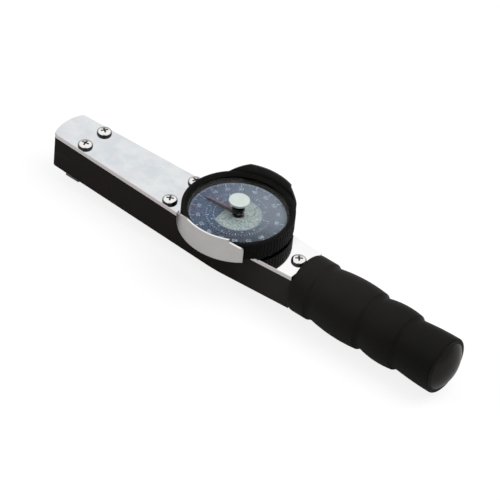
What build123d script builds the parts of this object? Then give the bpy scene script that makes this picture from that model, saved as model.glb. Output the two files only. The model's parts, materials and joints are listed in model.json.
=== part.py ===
# Dial torque wrench, in millimetres. The origin is the centre of the drive square's end face. +X runs along
# the tool towards the grip, +Z is up through the dial, and only the wings and pointers aren't even on Y = 0.

from build123d import *
import math
import os

os.makedirs("parts", exist_ok=True)

# Drive square and arbor
drive_size = 9.53
drive_length = 9.0
drive_edge = 0.6
journal_radius = 7.0
head_radius = 7.8
stub_radius = 4.5
bush_wall = 1.0
bush_flange_rim = 0.6
bush_flange_thickness = 1.0
upper_bush_wall = 1.5
ball_radius = 1.6
ball_proud = 0.7
ball_bore_depth = 5.3
ball_spring_wire = 0.15
ball_spring_turns = 5

# Housing and cover plate
housing_height = 19.2
floor_thickness = 2.0
wall_thickness = 1.6
plate_thickness = 2.3
plate_edge = 0.25
nose_gap = 0.37
nose_bow = 2.8
nose_half_width = 11.45
nose_corner = 2.2
dial_half_width = 16.05
rear_half_width = 12.4
waist_blend_radius = 90.0
underside_round = 1.0
body_behind_dial = 45.9
boss_radius = 3.2

# Cover screws: places along the tool and how far off the centreline
nose_screw_x = 10.2
nose_screw_inset = 3.95
mid_screw_ahead = 36.4
mid_screw_side = 10.2
rear_screw_inset = 5.2
screw_radius = 1.5
screw_head_radius = 4.0
screw_head_height = 2.0
screw_head_dome = 1.5
screw_recess_length = 4.6
screw_recess_width = 1.1
screw_recess_depth = 1.0
screw_length = 9.5

# Bearing plate over the arbor
bearing_plate_thickness = 2.5
bearing_plate_margin = 5.8
bearing_plate_gap = 0.2

# Spring beam, its dowels and the reaction pins
beam_thickness = 4.5
beam_cover = 1.45
beam_tail = 3.0
beam_tip = 3.0
dowel_radius = 1.0
dowel_spacing = 4.5
dowel_cover = 0.9
reaction_pin_x = 64.0
reaction_pin_radius = 1.75

# Indicator arm
arm_thickness = 1.2
arm_root_half_width = 3.0
arm_tip_half_width = 1.8
arm_tip_gap = 6.0
arm_headroom = 0.35
arm_screw_angle = 120.0
arm_screw_radius = 0.8
arm_screw_head_radius = 1.3
arm_screw_length = 3.5
sink_angle = 90.0

# Sector and pinion teeth
tooth_module = 0.3
pinion_teeth = 14
sector_circle_teeth = 700
sector_side_teeth = 7
pressure_angle = 20.0
addendum_factor = 0.8
dedendum_factor = 1.05
backlash = 0.05
sector_thickness = 1.0
sector_depth = 8.0
sector_lap = 10.3
sector_tail_half_width = 2.4
rivet_radius = 0.8
rivet_head_radius = 1.4
rivet_head_height = 0.4
rivet_inset = 1.6
rivet_spacing = 4.5

# Pinion shaft and its pivots
shaft_radius = 1.0
pinion_overlap = 0.2
collar_radius = 1.7
collar_height = 1.4
pivot_bush_wall = 1.8
pivot_flange_rim = 0.9
pivot_flange_thickness = 0.5
movement_plate_thickness = 1.5
movement_plate_length = 12.0
movement_plate_gap = 1.45
movement_pillar_radius = 2.5
movement_spigot_radius = 1.5
movement_screw_radius = 1.2
movement_screw_head_radius = 2.2
movement_screw_length = 7.0

# Dial guard with its two wings
guard_sheet = 1.0
guard_base_rim = 0.4
wing_gap = 0.8
wing_height = 15.2
wing_bend = 1.6
wing_front_angle = 155.4
wing_rear_angle = 50.5
wing_ramp_start = 1.2
wing_ramp_run = 16.0
wing_ramp_middle_run = 8.8
wing_ramp_middle_height = 11.1
wing_step_run = 6.7
wing_step_drop = 1.5
wing_slope_run = 1.4
wing_slope_drop = 5.0
wing_end_drop = 8.2

# Dial case, the pan that the bezel turns on
case_floor = 1.5
case_wall = 1.0
case_neck_step = 1.3
case_neck_height = 2.0
case_flange_gap = 0.5
case_flange_height = 1.1
case_headroom = 0.65
case_screw_edge = 3.3
case_screw_radius = 1.25
case_screw_head_radius = 2.4
case_screw_length = 4.7

# Bezel, lens and dial face; the wings and the pointers at rest are turned a little off the tool's line
dial_turn = 4.9
bezel_radius = 29.4
bezel_wall = 2.0
bezel_base_gap = 0.4
bezel_rim_width = 1.8
bezel_lip_reach = 1.2
bezel_lip_height = 0.4
bezel_top_edge = 0.5
bezel_rib_count = 90
bezel_rib_radius = 0.6
bezel_rib_depth = 0.35
bezel_rib_top_gap = 1.4
lens_thickness = 1.2
lens_depth = 1.8
lens_gasket_height = 2.4
lens_gasket_wall = 1.1
lens_gasket_foot = 2.1
face_thickness = 0.6
face_hole_gap = 0.6
snap_ring_height = 0.6
snap_ring_reach = 1.2
snap_ring_bite = 0.6
clip_height = 0.8

# Pointers, hub, hairspring
hub_radius = 2.0
hub_neck_radius = 1.4
hub_below_face = 1.5
hub_above_face = 1.0
pointer_thickness = 0.3
pointer_lift = 0.4
pointer_length = 21.5
pointer_tail = 3.4
pointer_root_half_width = 0.9
pointer_tip_half_width = 0.25
pointer_boss_radius = 2.3
memory_pointer_length = 19.0
memory_pointer_lift = 1.7
collet_radius = 1.9
collet_height = 1.0
collet_gap = 0.4
hairspring_strip = 0.14
hairspring_height = 0.7
hairspring_pitch = 1.0
hairspring_turns = 4
stud_radius = 0.9

# Reset knob and its stem
knob_radius = 5.5
knob_thickness = 1.3
knob_dome = 0.4
knob_lift = 5.4
stem_collar_radius = 3.3
stem_collar_height = 1.8
stem_neck_radius = 2.3
stem_radius = 1.8
stem_pin_radius = 1.2
stem_bush_wall = 0.85
stem_bush_flange = 0.2
stem_bush_rim = 0.5

# Handle tube, rear block, grip and end cap
tube_radius = 6.0
tube_wall = 1.4
block_length = 16.0
block_gap = 0.8
tube_pin_radius = 1.25
tube_pin_inset = 2.5
tube_pin_spacing = 4.5
block_screw_edge = 2.0
block_screw_inset = 8.0
block_screw_radius = 1.25
block_screw_head_radius = 2.5
block_screw_length = 7.0
grip_length = 90.0
grip_front_radius = 16.0
grip_front_round = 2.4
groove_step_run = 3.2
groove_places = [14.3, 45.6, 68.1]
groove_floor_radii = [15.0, 14.7, 14.1]
bulge_middle_radii = [16.6, 16.1, 15.0]
bulge_end_radii = [16.0, 15.5, 15.3]
grip_end_round = 1.2
cap_rim_width = 1.2
cap_seat_depth = 1.2
cap_rise = 4.5
cap_plug_length = 12.0

# Clearances
running_gap = 0.03
seat_gap = 0.05
play = 0.1
end_play = 0.05
open_gap = 0.4

# Places worked out from the sizes above
sector_pitch_radius = tooth_module * sector_circle_teeth / 2
pinion_pitch_radius = tooth_module * pinion_teeth / 2
dial_x = sector_pitch_radius + pinion_pitch_radius
rear_x = dial_x + body_behind_dial
housing_bottom = drive_length
floor_top = housing_bottom + floor_thickness
housing_top = housing_bottom + housing_height
plate_top = housing_top + plate_thickness
boss_top = housing_top - bearing_plate_thickness
bush_top = floor_top + bush_flange_thickness
arm_top = boss_top - arm_headroom
head_top = arm_top - arm_thickness
head_bottom = bush_top + end_play
beam_top = head_top - beam_cover
beam_bottom = head_bottom + beam_cover
beam_height = beam_top - beam_bottom
beam_end = reaction_pin_x + beam_tip
arm_length = sector_pitch_radius - arm_tip_gap
arm_screw_ring_radius = (stub_radius + head_radius) / 2
sector_top = arm_top + sector_thickness
handle_z = (housing_bottom + plate_top) / 2
guard_top = plate_top + guard_sheet
bezel_bottom = guard_top + bezel_base_gap
case_top = guard_top + case_neck_height + case_flange_height
snap_ring_bottom = case_top + case_headroom
face_bottom = snap_ring_bottom + snap_ring_height + end_play
face_top = face_bottom + face_thickness
lens_bottom = face_top + lens_gasket_height
lens_top = lens_bottom + lens_thickness
bezel_top = lens_top + lens_depth
case_floor_top = guard_top + case_floor
upper_pivot_top = case_floor_top + play
knob_bottom = lens_top + knob_lift
nose_screw_side = nose_half_width - nose_screw_inset
mid_screw_x = dial_x - mid_screw_ahead
rear_screw_x = rear_x - rear_screw_inset
nose_spots = [(nose_screw_x, side * nose_screw_side) for side in (-1, 1)]
mid_spots = [(mid_screw_x, side * mid_screw_side) for side in (-1, 1)]
rear_spot = (rear_screw_x, 0)
cover_spots = nose_spots + mid_spots + [rear_spot]
movement_plate_half_width = dial_half_width - wall_thickness - movement_plate_gap
movement_pillar_side = movement_plate_half_width - movement_pillar_radius
pillar_spots = [(dial_x, side * movement_pillar_side) for side in (-1, 1)]
case_screw_side = dial_half_width - case_screw_edge
rivet_spots = [(arm_length - rivet_inset - n * rivet_spacing, 0) for n in range(2)]
pin_side = beam_thickness / 2 + reaction_pin_radius + seat_gap
pin_spots = [(reaction_pin_x, side * pin_side) for side in (-1, 1)]
dowel_spots = [(0, 0), (dowel_spacing, 0)]
block_front = rear_x - wall_thickness - block_length
block_half_width = rear_half_width - wall_thickness - block_gap
block_screw_x = rear_x - block_screw_inset
block_screw_side = block_half_width - block_screw_edge
block_screw_spots = [(block_screw_x, side * block_screw_side) for side in (-1, 1)]
bush_bore = journal_radius + running_gap
bush_radius = bush_bore + bush_wall
bush_flange_radius = bush_radius + bush_flange_rim
nose_reach = bush_flange_radius + nose_gap + wall_thickness
stub_bore = stub_radius + running_gap
upper_bush_radius = stub_bore + upper_bush_wall
pivot_bore = shaft_radius + running_gap
pivot_bush_radius = pivot_bore + pivot_bush_wall
pivot_flange_radius = pivot_bush_radius + pivot_flange_rim
pinion_bottom = arm_top - pinion_overlap
pinion_top = sector_top + pinion_overlap
collar_foot = pinion_bottom - collar_height
lower_pivot_top = collar_foot - end_play
movement_plate_top = lower_pivot_top - pivot_flange_thickness
movement_plate_bottom = movement_plate_top - movement_plate_thickness
shaft_bottom = movement_plate_bottom - pivot_flange_thickness
hub_bottom = face_top - hub_below_face
hub_top = face_top + hub_above_face
pointer_bottom = face_top + pointer_lift
memory_bottom = face_top + memory_pointer_lift
stem_bush_bore = stem_radius + running_gap
stem_bush_radius = stem_bush_bore + stem_bush_wall
pocket_radius = bezel_radius - bezel_wall
bezel_rim_inner = bezel_radius - bezel_rim_width
bezel_lip_radius = pocket_radius - bezel_lip_reach
case_flange_radius = pocket_radius - case_flange_gap
case_neck_radius = case_flange_radius - case_neck_step
guard_base_radius = case_neck_radius + guard_base_rim
wing_radius = bezel_radius + wing_gap + guard_sheet
wing_top = plate_top + wing_height
wing_front_x = wing_radius * math.cos(math.radians(wing_front_angle))
wing_end_x = wing_radius * math.cos(math.radians(wing_rear_angle))
wing_slope_x = wing_end_x - wing_slope_run
wing_step_x = wing_end_x - wing_step_run
cap_radius = bulge_end_radii[-1] - grip_end_round - cap_rim_width
dial_axis = Axis((dial_x, 0, 0), (0, 0, 1))
handle_axis = Axis((0, 0, handle_z), (1, 0, 0))


def level(height, x=0.0):
    """Horizontal sketch plane at a height, with its origin on the centreline at x."""
    return Plane(origin=(x, 0, height))


def dial_side(angle=0.0):
    """Upright half plane through the dial's axis: across is the radius and up is Z."""
    turn = math.radians(angle)
    across = (math.cos(turn), math.sin(turn), 0)
    normal = (math.sin(turn), -math.cos(turn), 0)
    return Plane(origin=(dial_x, 0, 0), x_dir=across, z_dir=normal)


def arm_screw_places():
    """Places of the two screws that hold the arm on the arbor's head, either side of its back."""
    return PolarLocations(
        arm_screw_ring_radius,
        2,
        start_angle=arm_screw_angle,
        angular_range=2 * arm_screw_angle,
    )


def tooth_outline(radius, half_angle_at):
    """Points of one tooth centred on angle 0, from its root on one side to its root on the other."""
    addendum = addendum_factor * tooth_module
    dedendum = dedendum_factor * tooth_module
    steps = [-dedendum, -dedendum / 2, 0, addendum / 2, addendum]
    left = [(radius + step, half_angle_at(radius + step)) for step in steps]
    right = [(r, -half) for r, half in reversed(left)]
    return left + right


def pinion_half_angle(radius):
    """Half the angle that a pinion tooth takes up at a radius, on an involute above the base circle."""
    base_radius = pinion_pitch_radius * math.cos(math.radians(pressure_angle))
    half_at_pitch = (math.pi * tooth_module - backlash) / 4 / pinion_pitch_radius
    at_pitch = math.tan(math.radians(pressure_angle)) - math.radians(pressure_angle)
    tilt = math.acos(min(1.0, base_radius / max(radius, base_radius)))
    return half_at_pitch + at_pitch - (math.tan(tilt) - tilt)


def sector_half_angle(radius):
    """Half the angle that a sector tooth takes up at a radius, with nearly straight flanks as on a rack."""
    half_at_pitch = (math.pi * tooth_module - backlash) / 4
    lean = (radius - sector_pitch_radius) * math.tan(math.radians(pressure_angle))
    return (half_at_pitch - lean) / radius


def around(radius, angle):
    """Point at a radius and an angle in radians."""
    return (radius * math.cos(angle), radius * math.sin(angle))


def pointer_plan(length, hole_radius):
    """Slim tapered pointer with a round boss, a short wide tail and a hole, at its place of rest by -X."""
    with BuildSketch() as plan:
        with BuildLine():
            Polyline(
                (-length, pointer_tip_half_width),
                (0, pointer_root_half_width),
                (pointer_tail, pointer_root_half_width),
                (pointer_tail, -pointer_root_half_width),
                (0, -pointer_root_half_width),
                (-length, -pointer_tip_half_width),
                close=True,
            )
        make_face()
        Circle(pointer_boss_radius)
        Circle(hole_radius, mode=Mode.SUBTRACT)
    return plan.sketch.rotate(Axis.Z, dial_turn)


# Plan outline of the body, shared by the housing and the cover plate
with BuildSketch() as body_plan:
    nose_shoulder = nose_bow - nose_reach
    with BuildLine():
        ThreePointArc(
            (nose_shoulder, -nose_half_width),
            (-nose_reach, 0),
            (nose_shoulder, nose_half_width),
        )
        Polyline(
            (nose_shoulder, nose_half_width),
            (dial_x, dial_half_width),
            (rear_x, rear_half_width),
            (rear_x, -rear_half_width),
            (dial_x, -dial_half_width),
            (nose_shoulder, -nose_half_width),
        )
    make_face()
    fillet(body_plan.vertices().group_by(Axis.X)[0], nose_corner)
    fillet(body_plan.vertices().filter_by(lambda v: abs(v.X - dial_x) < play), waist_blend_radius)

with BuildSketch() as cavity_plan:
    add(body_plan.sketch)
    offset(amount=-wall_thickness, kind=Kind.INTERSECTION)

# Housing: floor, walls and screw bosses in one channel
with BuildPart() as housing:
    with BuildSketch(level(housing_bottom)):
        add(body_plan.sketch)
    extrude(amount=housing_height)
    fillet(housing.faces().sort_by(Axis.Z)[0].edges(), underside_round)
    with BuildSketch(level(floor_top)):
        add(cavity_plan.sketch)
    extrude(amount=housing_height, mode=Mode.SUBTRACT)
    with BuildSketch(level(floor_top)):
        with Locations(*nose_spots):
            Circle(boss_radius)
    extrude(amount=boss_top - floor_top)
    with BuildSketch(level(floor_top)):
        with Locations(*mid_spots):
            Circle(boss_radius)
    extrude(amount=housing_top - floor_top)
    with BuildSketch(level(plate_top - screw_length)):
        with Locations(*nose_spots, *mid_spots):
            Circle(screw_radius + seat_gap)
    extrude(amount=screw_length, mode=Mode.SUBTRACT)
    with BuildSketch(level(housing_bottom)):
        Circle(bush_radius)
        with Locations(*pin_spots):
            Circle(reaction_pin_radius)
        with Locations(*pillar_spots):
            Circle(movement_spigot_radius)
        with Locations(*block_screw_spots):
            Circle(block_screw_radius + seat_gap)
    extrude(amount=floor_thickness, mode=Mode.SUBTRACT)
    with Locations(*[(x, y, housing_bottom) for x, y in block_screw_spots]):
        Cone(
            block_screw_head_radius,
            block_screw_radius,
            block_screw_head_radius - block_screw_radius,
            align=(Align.CENTER, Align.CENTER, Align.MIN),
            mode=Mode.SUBTRACT,
        )
    with BuildSketch(Plane(origin=(rear_x, 0, handle_z), z_dir=(-1, 0, 0))):
        Circle(tube_radius + seat_gap)
    extrude(amount=wall_thickness, mode=Mode.SUBTRACT)

# Cover plate: the bright flat plate on the channel, drilled for its screws and the upper pivot
with BuildPart() as cover_plate:
    with BuildSketch(level(housing_top)):
        add(body_plan.sketch)
        with Locations(*cover_spots):
            Circle(screw_radius + play, mode=Mode.SUBTRACT)
        with Locations((dial_x, 0)):
            Circle(pivot_bush_radius, mode=Mode.SUBTRACT)
            with GridLocations(2 * case_screw_side, 2 * case_screw_side, 2, 2):
                Circle(case_screw_radius + seat_gap, mode=Mode.SUBTRACT)
    extrude(amount=plate_thickness)
    chamfer(cover_plate.faces().sort_by(Axis.Z)[-1].outer_wire().edges(), plate_edge)

# Cover screws: domed pan heads with a cross recess
with BuildPart() as cover_screws:
    with BuildSketch(level(plate_top)):
        with Locations(*cover_spots):
            Circle(screw_head_radius)
    extrude(amount=screw_head_height)
    fillet(cover_screws.faces().group_by(Axis.Z)[-1].edges(), screw_head_dome)
    with BuildSketch(level(plate_top - screw_length)):
        with Locations(*cover_spots):
            Circle(screw_radius)
    extrude(amount=screw_length)
    with BuildSketch(level(plate_top + screw_head_height)):
        with Locations(*cover_spots):
            Rectangle(screw_recess_length, screw_recess_width)
            Rectangle(screw_recess_width, screw_recess_length)
    extrude(amount=-screw_recess_depth, mode=Mode.SUBTRACT)

# Bearing plate: steel plate under the nose end of the cover, held by the nose screws
with BuildPart() as bearing_plate:
    with BuildSketch(level(boss_top)):
        add(cavity_plan.sketch)
        offset(amount=-bearing_plate_gap, kind=Kind.INTERSECTION)
        with Locations((nose_screw_x + bearing_plate_margin, 0)):
            Rectangle(
                rear_x,
                2 * dial_half_width,
                align=(Align.MIN, Align.CENTER),
                mode=Mode.SUBTRACT,
            )
        Circle(upper_bush_radius, mode=Mode.SUBTRACT)
        with Locations(*nose_spots):
            Circle(screw_radius + play, mode=Mode.SUBTRACT)
    extrude(amount=bearing_plate_thickness)

# Bushes that the arbor turns in
with BuildPart() as lower_arbor_bush:
    with BuildSketch(level(housing_bottom)):
        Circle(bush_radius)
    extrude(amount=floor_thickness)
    with BuildSketch(level(floor_top)):
        Circle(bush_flange_radius)
    extrude(amount=bush_flange_thickness)
    with BuildSketch(level(housing_bottom)):
        Circle(bush_bore)
    extrude(amount=bush_top - housing_bottom, mode=Mode.SUBTRACT)

with BuildPart() as upper_arbor_bush:
    with BuildSketch(level(boss_top)):
        Circle(upper_bush_radius)
        Circle(stub_bore, mode=Mode.SUBTRACT)
    extrude(amount=bearing_plate_thickness)

# Drive arbor: square, journal, slotted head and top stub in one piece
with BuildPart() as drive_arbor:
    with BuildSketch(level(0)):
        Rectangle(drive_size, drive_size)
    extrude(amount=drive_length)
    chamfer(drive_arbor.edges().filter_by(Axis.Z), drive_edge)
    chamfer(drive_arbor.faces().sort_by(Axis.Z)[0].edges(), drive_edge)
    with BuildSketch(level(housing_bottom)):
        Circle(journal_radius)
    extrude(amount=head_bottom - housing_bottom)
    with BuildSketch(level(head_bottom)):
        Circle(head_radius)
    extrude(amount=head_top - head_bottom)
    with BuildSketch(level(head_top)):
        Circle(stub_radius)
    extrude(amount=housing_top - play - head_top)
    with BuildSketch(level(beam_bottom, -beam_tail)):
        Rectangle(2 * head_radius, beam_thickness, align=(Align.MIN, Align.CENTER))
    extrude(amount=beam_height, mode=Mode.SUBTRACT)
    with BuildSketch(level(beam_bottom - dowel_cover)):
        with Locations(*dowel_spots):
            Circle(dowel_radius)
    extrude(amount=beam_height + 2 * dowel_cover, mode=Mode.SUBTRACT)
    with BuildSketch(level(arm_top - arm_screw_length)):
        with arm_screw_places():
            Circle(arm_screw_radius + seat_gap)
    extrude(amount=head_top - arm_top + arm_screw_length, mode=Mode.SUBTRACT)
    ball_plane = Plane(origin=(drive_size / 2, 0, drive_length / 2), z_dir=(-1, 0, 0))
    with BuildSketch(ball_plane):
        Circle(ball_radius + seat_gap)
    extrude(amount=ball_bore_depth, mode=Mode.SUBTRACT)

# Detent ball and its spring in the square's bore
ball_x = drive_size / 2 + ball_proud - ball_radius
with BuildPart() as detent_ball:
    with Locations((ball_x, 0, drive_length / 2)):
        Sphere(ball_radius)

spring_floor = drive_size / 2 - ball_bore_depth
spring_height = ball_x - ball_radius - spring_floor - 2 * ball_spring_wire
spring_radius = ball_radius - 2 * ball_spring_wire
with BuildPart() as detent_spring:
    with BuildLine() as spring_path:
        Helix(
            pitch=spring_height / ball_spring_turns,
            height=spring_height,
            radius=spring_radius,
            center=(spring_floor + ball_spring_wire, 0, drive_length / 2),
            direction=(1, 0, 0),
        )
    with BuildSketch(spring_path.line ^ 0):
        Circle(ball_spring_wire)
    sweep(path=spring_path.line, is_frenet=True)

# Spring beam: flat bar from the arbor's slot to between the reaction pins
with BuildPart() as spring_beam:
    with BuildSketch(level(beam_bottom, -beam_tail)):
        Rectangle(beam_tail + beam_end, beam_thickness, align=(Align.MIN, Align.CENTER))
    extrude(amount=beam_height)
    with BuildSketch(level(beam_bottom)):
        with Locations(*dowel_spots):
            Circle(dowel_radius)
    extrude(amount=beam_height, mode=Mode.SUBTRACT)

with BuildPart() as beam_dowels:
    with BuildSketch(level(beam_bottom - dowel_cover)):
        with Locations(*dowel_spots):
            Circle(dowel_radius)
    extrude(amount=beam_height + 2 * dowel_cover)

with BuildPart() as reaction_pins:
    with BuildSketch(level(housing_bottom)):
        with Locations(*pin_spots):
            Circle(reaction_pin_radius)
    extrude(amount=beam_top - housing_bottom)
    chamfer(reaction_pins.faces().group_by(Axis.Z)[-1].edges(), play)

# Indicator arm: thin plate on the arbor's head that carries the sector
with BuildPart() as indicator_arm:
    with BuildSketch(level(head_top)):
        Circle(head_radius)
        with BuildLine():
            Polyline(
                (0, arm_root_half_width),
                (arm_length, arm_tip_half_width),
                (arm_length, -arm_tip_half_width),
                (0, -arm_root_half_width),
                close=True,
            )
        make_face()
        Circle(stub_radius, mode=Mode.SUBTRACT)
        with Locations(*rivet_spots):
            Circle(rivet_radius, mode=Mode.SUBTRACT)
    extrude(amount=arm_thickness)
    with arm_screw_places():
        with Locations((0, 0, arm_top)):
            CounterSinkHole(
                arm_screw_radius + seat_gap,
                arm_screw_head_radius + seat_gap,
                depth=arm_thickness,
                counter_sink_angle=sink_angle,
            )

with BuildPart() as arm_screws:
    with arm_screw_places():
        with Locations((0, 0, arm_top)):
            Cylinder(
                arm_screw_radius,
                arm_screw_length,
                align=(Align.CENTER, Align.CENTER, Align.MAX),
            )
            Cone(
                arm_screw_radius,
                arm_screw_head_radius,
                arm_screw_head_radius - arm_screw_radius,
                align=(Align.CENTER, Align.CENTER, Align.MAX),
            )

# Sector: fan-shaped plate with teeth on the arm's tip
sector_tail_x = arm_length - sector_lap
sector_pitch_angle = 2 * math.pi / sector_circle_teeth
sector_root_radius = sector_pitch_radius - dedendum_factor * tooth_module
sector_edge_angle = (sector_side_teeth + 0.5) * sector_pitch_angle
sector_points = []
for tooth in range(sector_side_teeth, -sector_side_teeth - 1, -1):
    centre = tooth * sector_pitch_angle
    outline = tooth_outline(sector_pitch_radius, sector_half_angle)
    sector_points += [around(r, centre + a) for r, a in outline]
with BuildPart() as sector_gear:
    with BuildSketch(level(arm_top)):
        with BuildLine():
            Polyline(
                around(sector_root_radius, sector_edge_angle),
                *sector_points,
                around(sector_root_radius, -sector_edge_angle),
                around(sector_root_radius - sector_depth / 2, -sector_edge_angle),
                (sector_tail_x, -sector_tail_half_width),
                (sector_tail_x, sector_tail_half_width),
                around(sector_root_radius - sector_depth / 2, sector_edge_angle),
                close=True,
            )
        make_face()
        with Locations(*rivet_spots):
            Circle(rivet_radius, mode=Mode.SUBTRACT)
    extrude(amount=sector_thickness)

with BuildPart() as sector_rivets:
    with BuildSketch(level(head_top)):
        with Locations(*rivet_spots):
            Circle(rivet_radius)
    extrude(amount=arm_thickness + sector_thickness)
    with BuildSketch(level(sector_top), level(head_top - rivet_head_height)):
        with Locations(*rivet_spots):
            Circle(rivet_head_radius)
    extrude(amount=rivet_head_height)

# Carrier of the lower pivot: two pillars, a plate and its countersunk screws
with BuildPart() as movement_pillars:
    with BuildSketch(level(housing_bottom)):
        with Locations(*pillar_spots):
            Circle(movement_spigot_radius)
    extrude(amount=floor_thickness)
    with BuildSketch(level(floor_top)):
        with Locations(*pillar_spots):
            Circle(movement_pillar_radius)
    extrude(amount=movement_plate_bottom - floor_top)
    with BuildSketch(level(movement_plate_top - movement_screw_length)):
        with Locations(*pillar_spots):
            Circle(movement_screw_radius + seat_gap)
    extrude(amount=movement_screw_length, mode=Mode.SUBTRACT)

movement_sink = movement_screw_head_radius - movement_screw_radius
with BuildPart() as movement_plate:
    with BuildSketch(level(movement_plate_bottom, dial_x)):
        RectangleRounded(
            movement_plate_length,
            2 * movement_plate_half_width,
            movement_pillar_radius,
        )
        Circle(pivot_bush_radius, mode=Mode.SUBTRACT)
    extrude(amount=movement_plate_thickness)
    with Locations(*[(x, y, movement_plate_top) for x, y in pillar_spots]):
        CounterSinkHole(
            movement_screw_radius + seat_gap,
            movement_screw_head_radius + seat_gap,
            depth=movement_plate_thickness,
            counter_sink_angle=sink_angle,
        )

with BuildPart() as movement_screws:
    with Locations(*[(x, y, movement_plate_top) for x, y in pillar_spots]):
        Cylinder(
            movement_screw_radius,
            movement_screw_length,
            align=(Align.CENTER, Align.CENTER, Align.MAX),
        )
        Cone(
            movement_screw_radius,
            movement_screw_head_radius,
            movement_sink,
            align=(Align.CENTER, Align.CENTER, Align.MAX),
        )

with BuildPart() as lower_pivot_bush:
    with BuildSketch(level(movement_plate_bottom, dial_x)):
        Circle(pivot_bush_radius)
    extrude(amount=movement_plate_thickness)
    with BuildSketch(level(movement_plate_top, dial_x)):
        Circle(pivot_flange_radius)
    extrude(amount=pivot_flange_thickness)
    with BuildSketch(level(movement_plate_bottom, dial_x)):
        Circle(pivot_bore)
    extrude(amount=lower_pivot_top - movement_plate_bottom, mode=Mode.SUBTRACT)

with BuildPart() as upper_pivot_bush:
    with BuildSketch(level(housing_top - pivot_flange_thickness, dial_x)):
        Circle(pivot_flange_radius)
    extrude(amount=pivot_flange_thickness)
    with BuildSketch(level(housing_top, dial_x)):
        Circle(pivot_bush_radius)
    extrude(amount=upper_pivot_top - housing_top)
    with BuildSketch(level(housing_top - pivot_flange_thickness, dial_x)):
        Circle(pivot_bore)
    extrude(amount=upper_pivot_top - housing_top + pivot_flange_thickness, mode=Mode.SUBTRACT)

# Pinion shaft: thin shaft, collar and a pinion whose tooth gaps face the sector at rest
pinion_pitch_angle = 2 * math.pi / pinion_teeth
pinion_points = []
for tooth in range(pinion_teeth, 0, -1):
    centre = (tooth + 0.5) * pinion_pitch_angle
    outline = tooth_outline(pinion_pitch_radius, pinion_half_angle)
    pinion_points += [around(r, centre + a) for r, a in outline]
with BuildPart() as pinion_shaft:
    with BuildSketch(level(shaft_bottom, dial_x)):
        Circle(shaft_radius)
    extrude(amount=hub_top - shaft_bottom)
    with BuildSketch(level(collar_foot, dial_x)):
        Circle(collar_radius)
    extrude(amount=collar_height)
    with BuildSketch(level(pinion_bottom, dial_x)):
        with BuildLine():
            Polyline(*pinion_points, close=True)
        make_face()
    extrude(amount=pinion_top - pinion_bottom)

# Hairspring, its collet on the shaft and the stud that holds its outer end
hairspring_bottom = upper_pivot_top + collet_gap + play
with BuildPart() as hairspring_collet:
    with BuildSketch(level(upper_pivot_top + collet_gap, dial_x)):
        Circle(collet_radius)
        Circle(shaft_radius, mode=Mode.SUBTRACT)
    extrude(amount=collet_height)

hairspring_start = collet_radius + hairspring_strip / 2
with BuildPart() as hairspring:
    with BuildSketch(level(hairspring_bottom, dial_x)):
        with BuildLine():
            for half_turn in range(2 * hairspring_turns):
                side = 1 if half_turn % 2 == 0 else -1
                inner = hairspring_start + half_turn * hairspring_pitch / 2
                outer = inner + hairspring_pitch / 2
                middle = (inner + outer) / 2
                offset_x = side * (inner - outer) / 2
                ThreePointArc((side * inner, 0), (offset_x, side * middle), (-side * outer, 0))
        trace(line_width=hairspring_strip)
    extrude(amount=hairspring_height)

hairspring_end = hairspring_start + hairspring_turns * hairspring_pitch
stud_x = dial_x + hairspring_end + hairspring_strip / 2 + stud_radius
with BuildPart() as hairspring_stud:
    with BuildSketch(level(case_floor_top, stud_x)):
        Circle(stud_radius)
    extrude(amount=hairspring_bottom + hairspring_height - case_floor_top)

# Pointer hub and the main pointer on it
with BuildPart() as pointer_hub:
    with BuildSketch(level(hub_bottom, dial_x)):
        Circle(hub_radius)
    extrude(amount=pointer_bottom - hub_bottom)
    with BuildSketch(level(pointer_bottom, dial_x)):
        Circle(hub_neck_radius)
    extrude(amount=hub_top - pointer_bottom)
    with BuildSketch(level(hub_bottom, dial_x)):
        Circle(shaft_radius)
    extrude(amount=hub_top - hub_bottom, mode=Mode.SUBTRACT)

with BuildPart() as main_pointer:
    with BuildSketch(level(pointer_bottom, dial_x)):
        add(pointer_plan(pointer_length, hub_neck_radius))
    extrude(amount=pointer_thickness)

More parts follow.
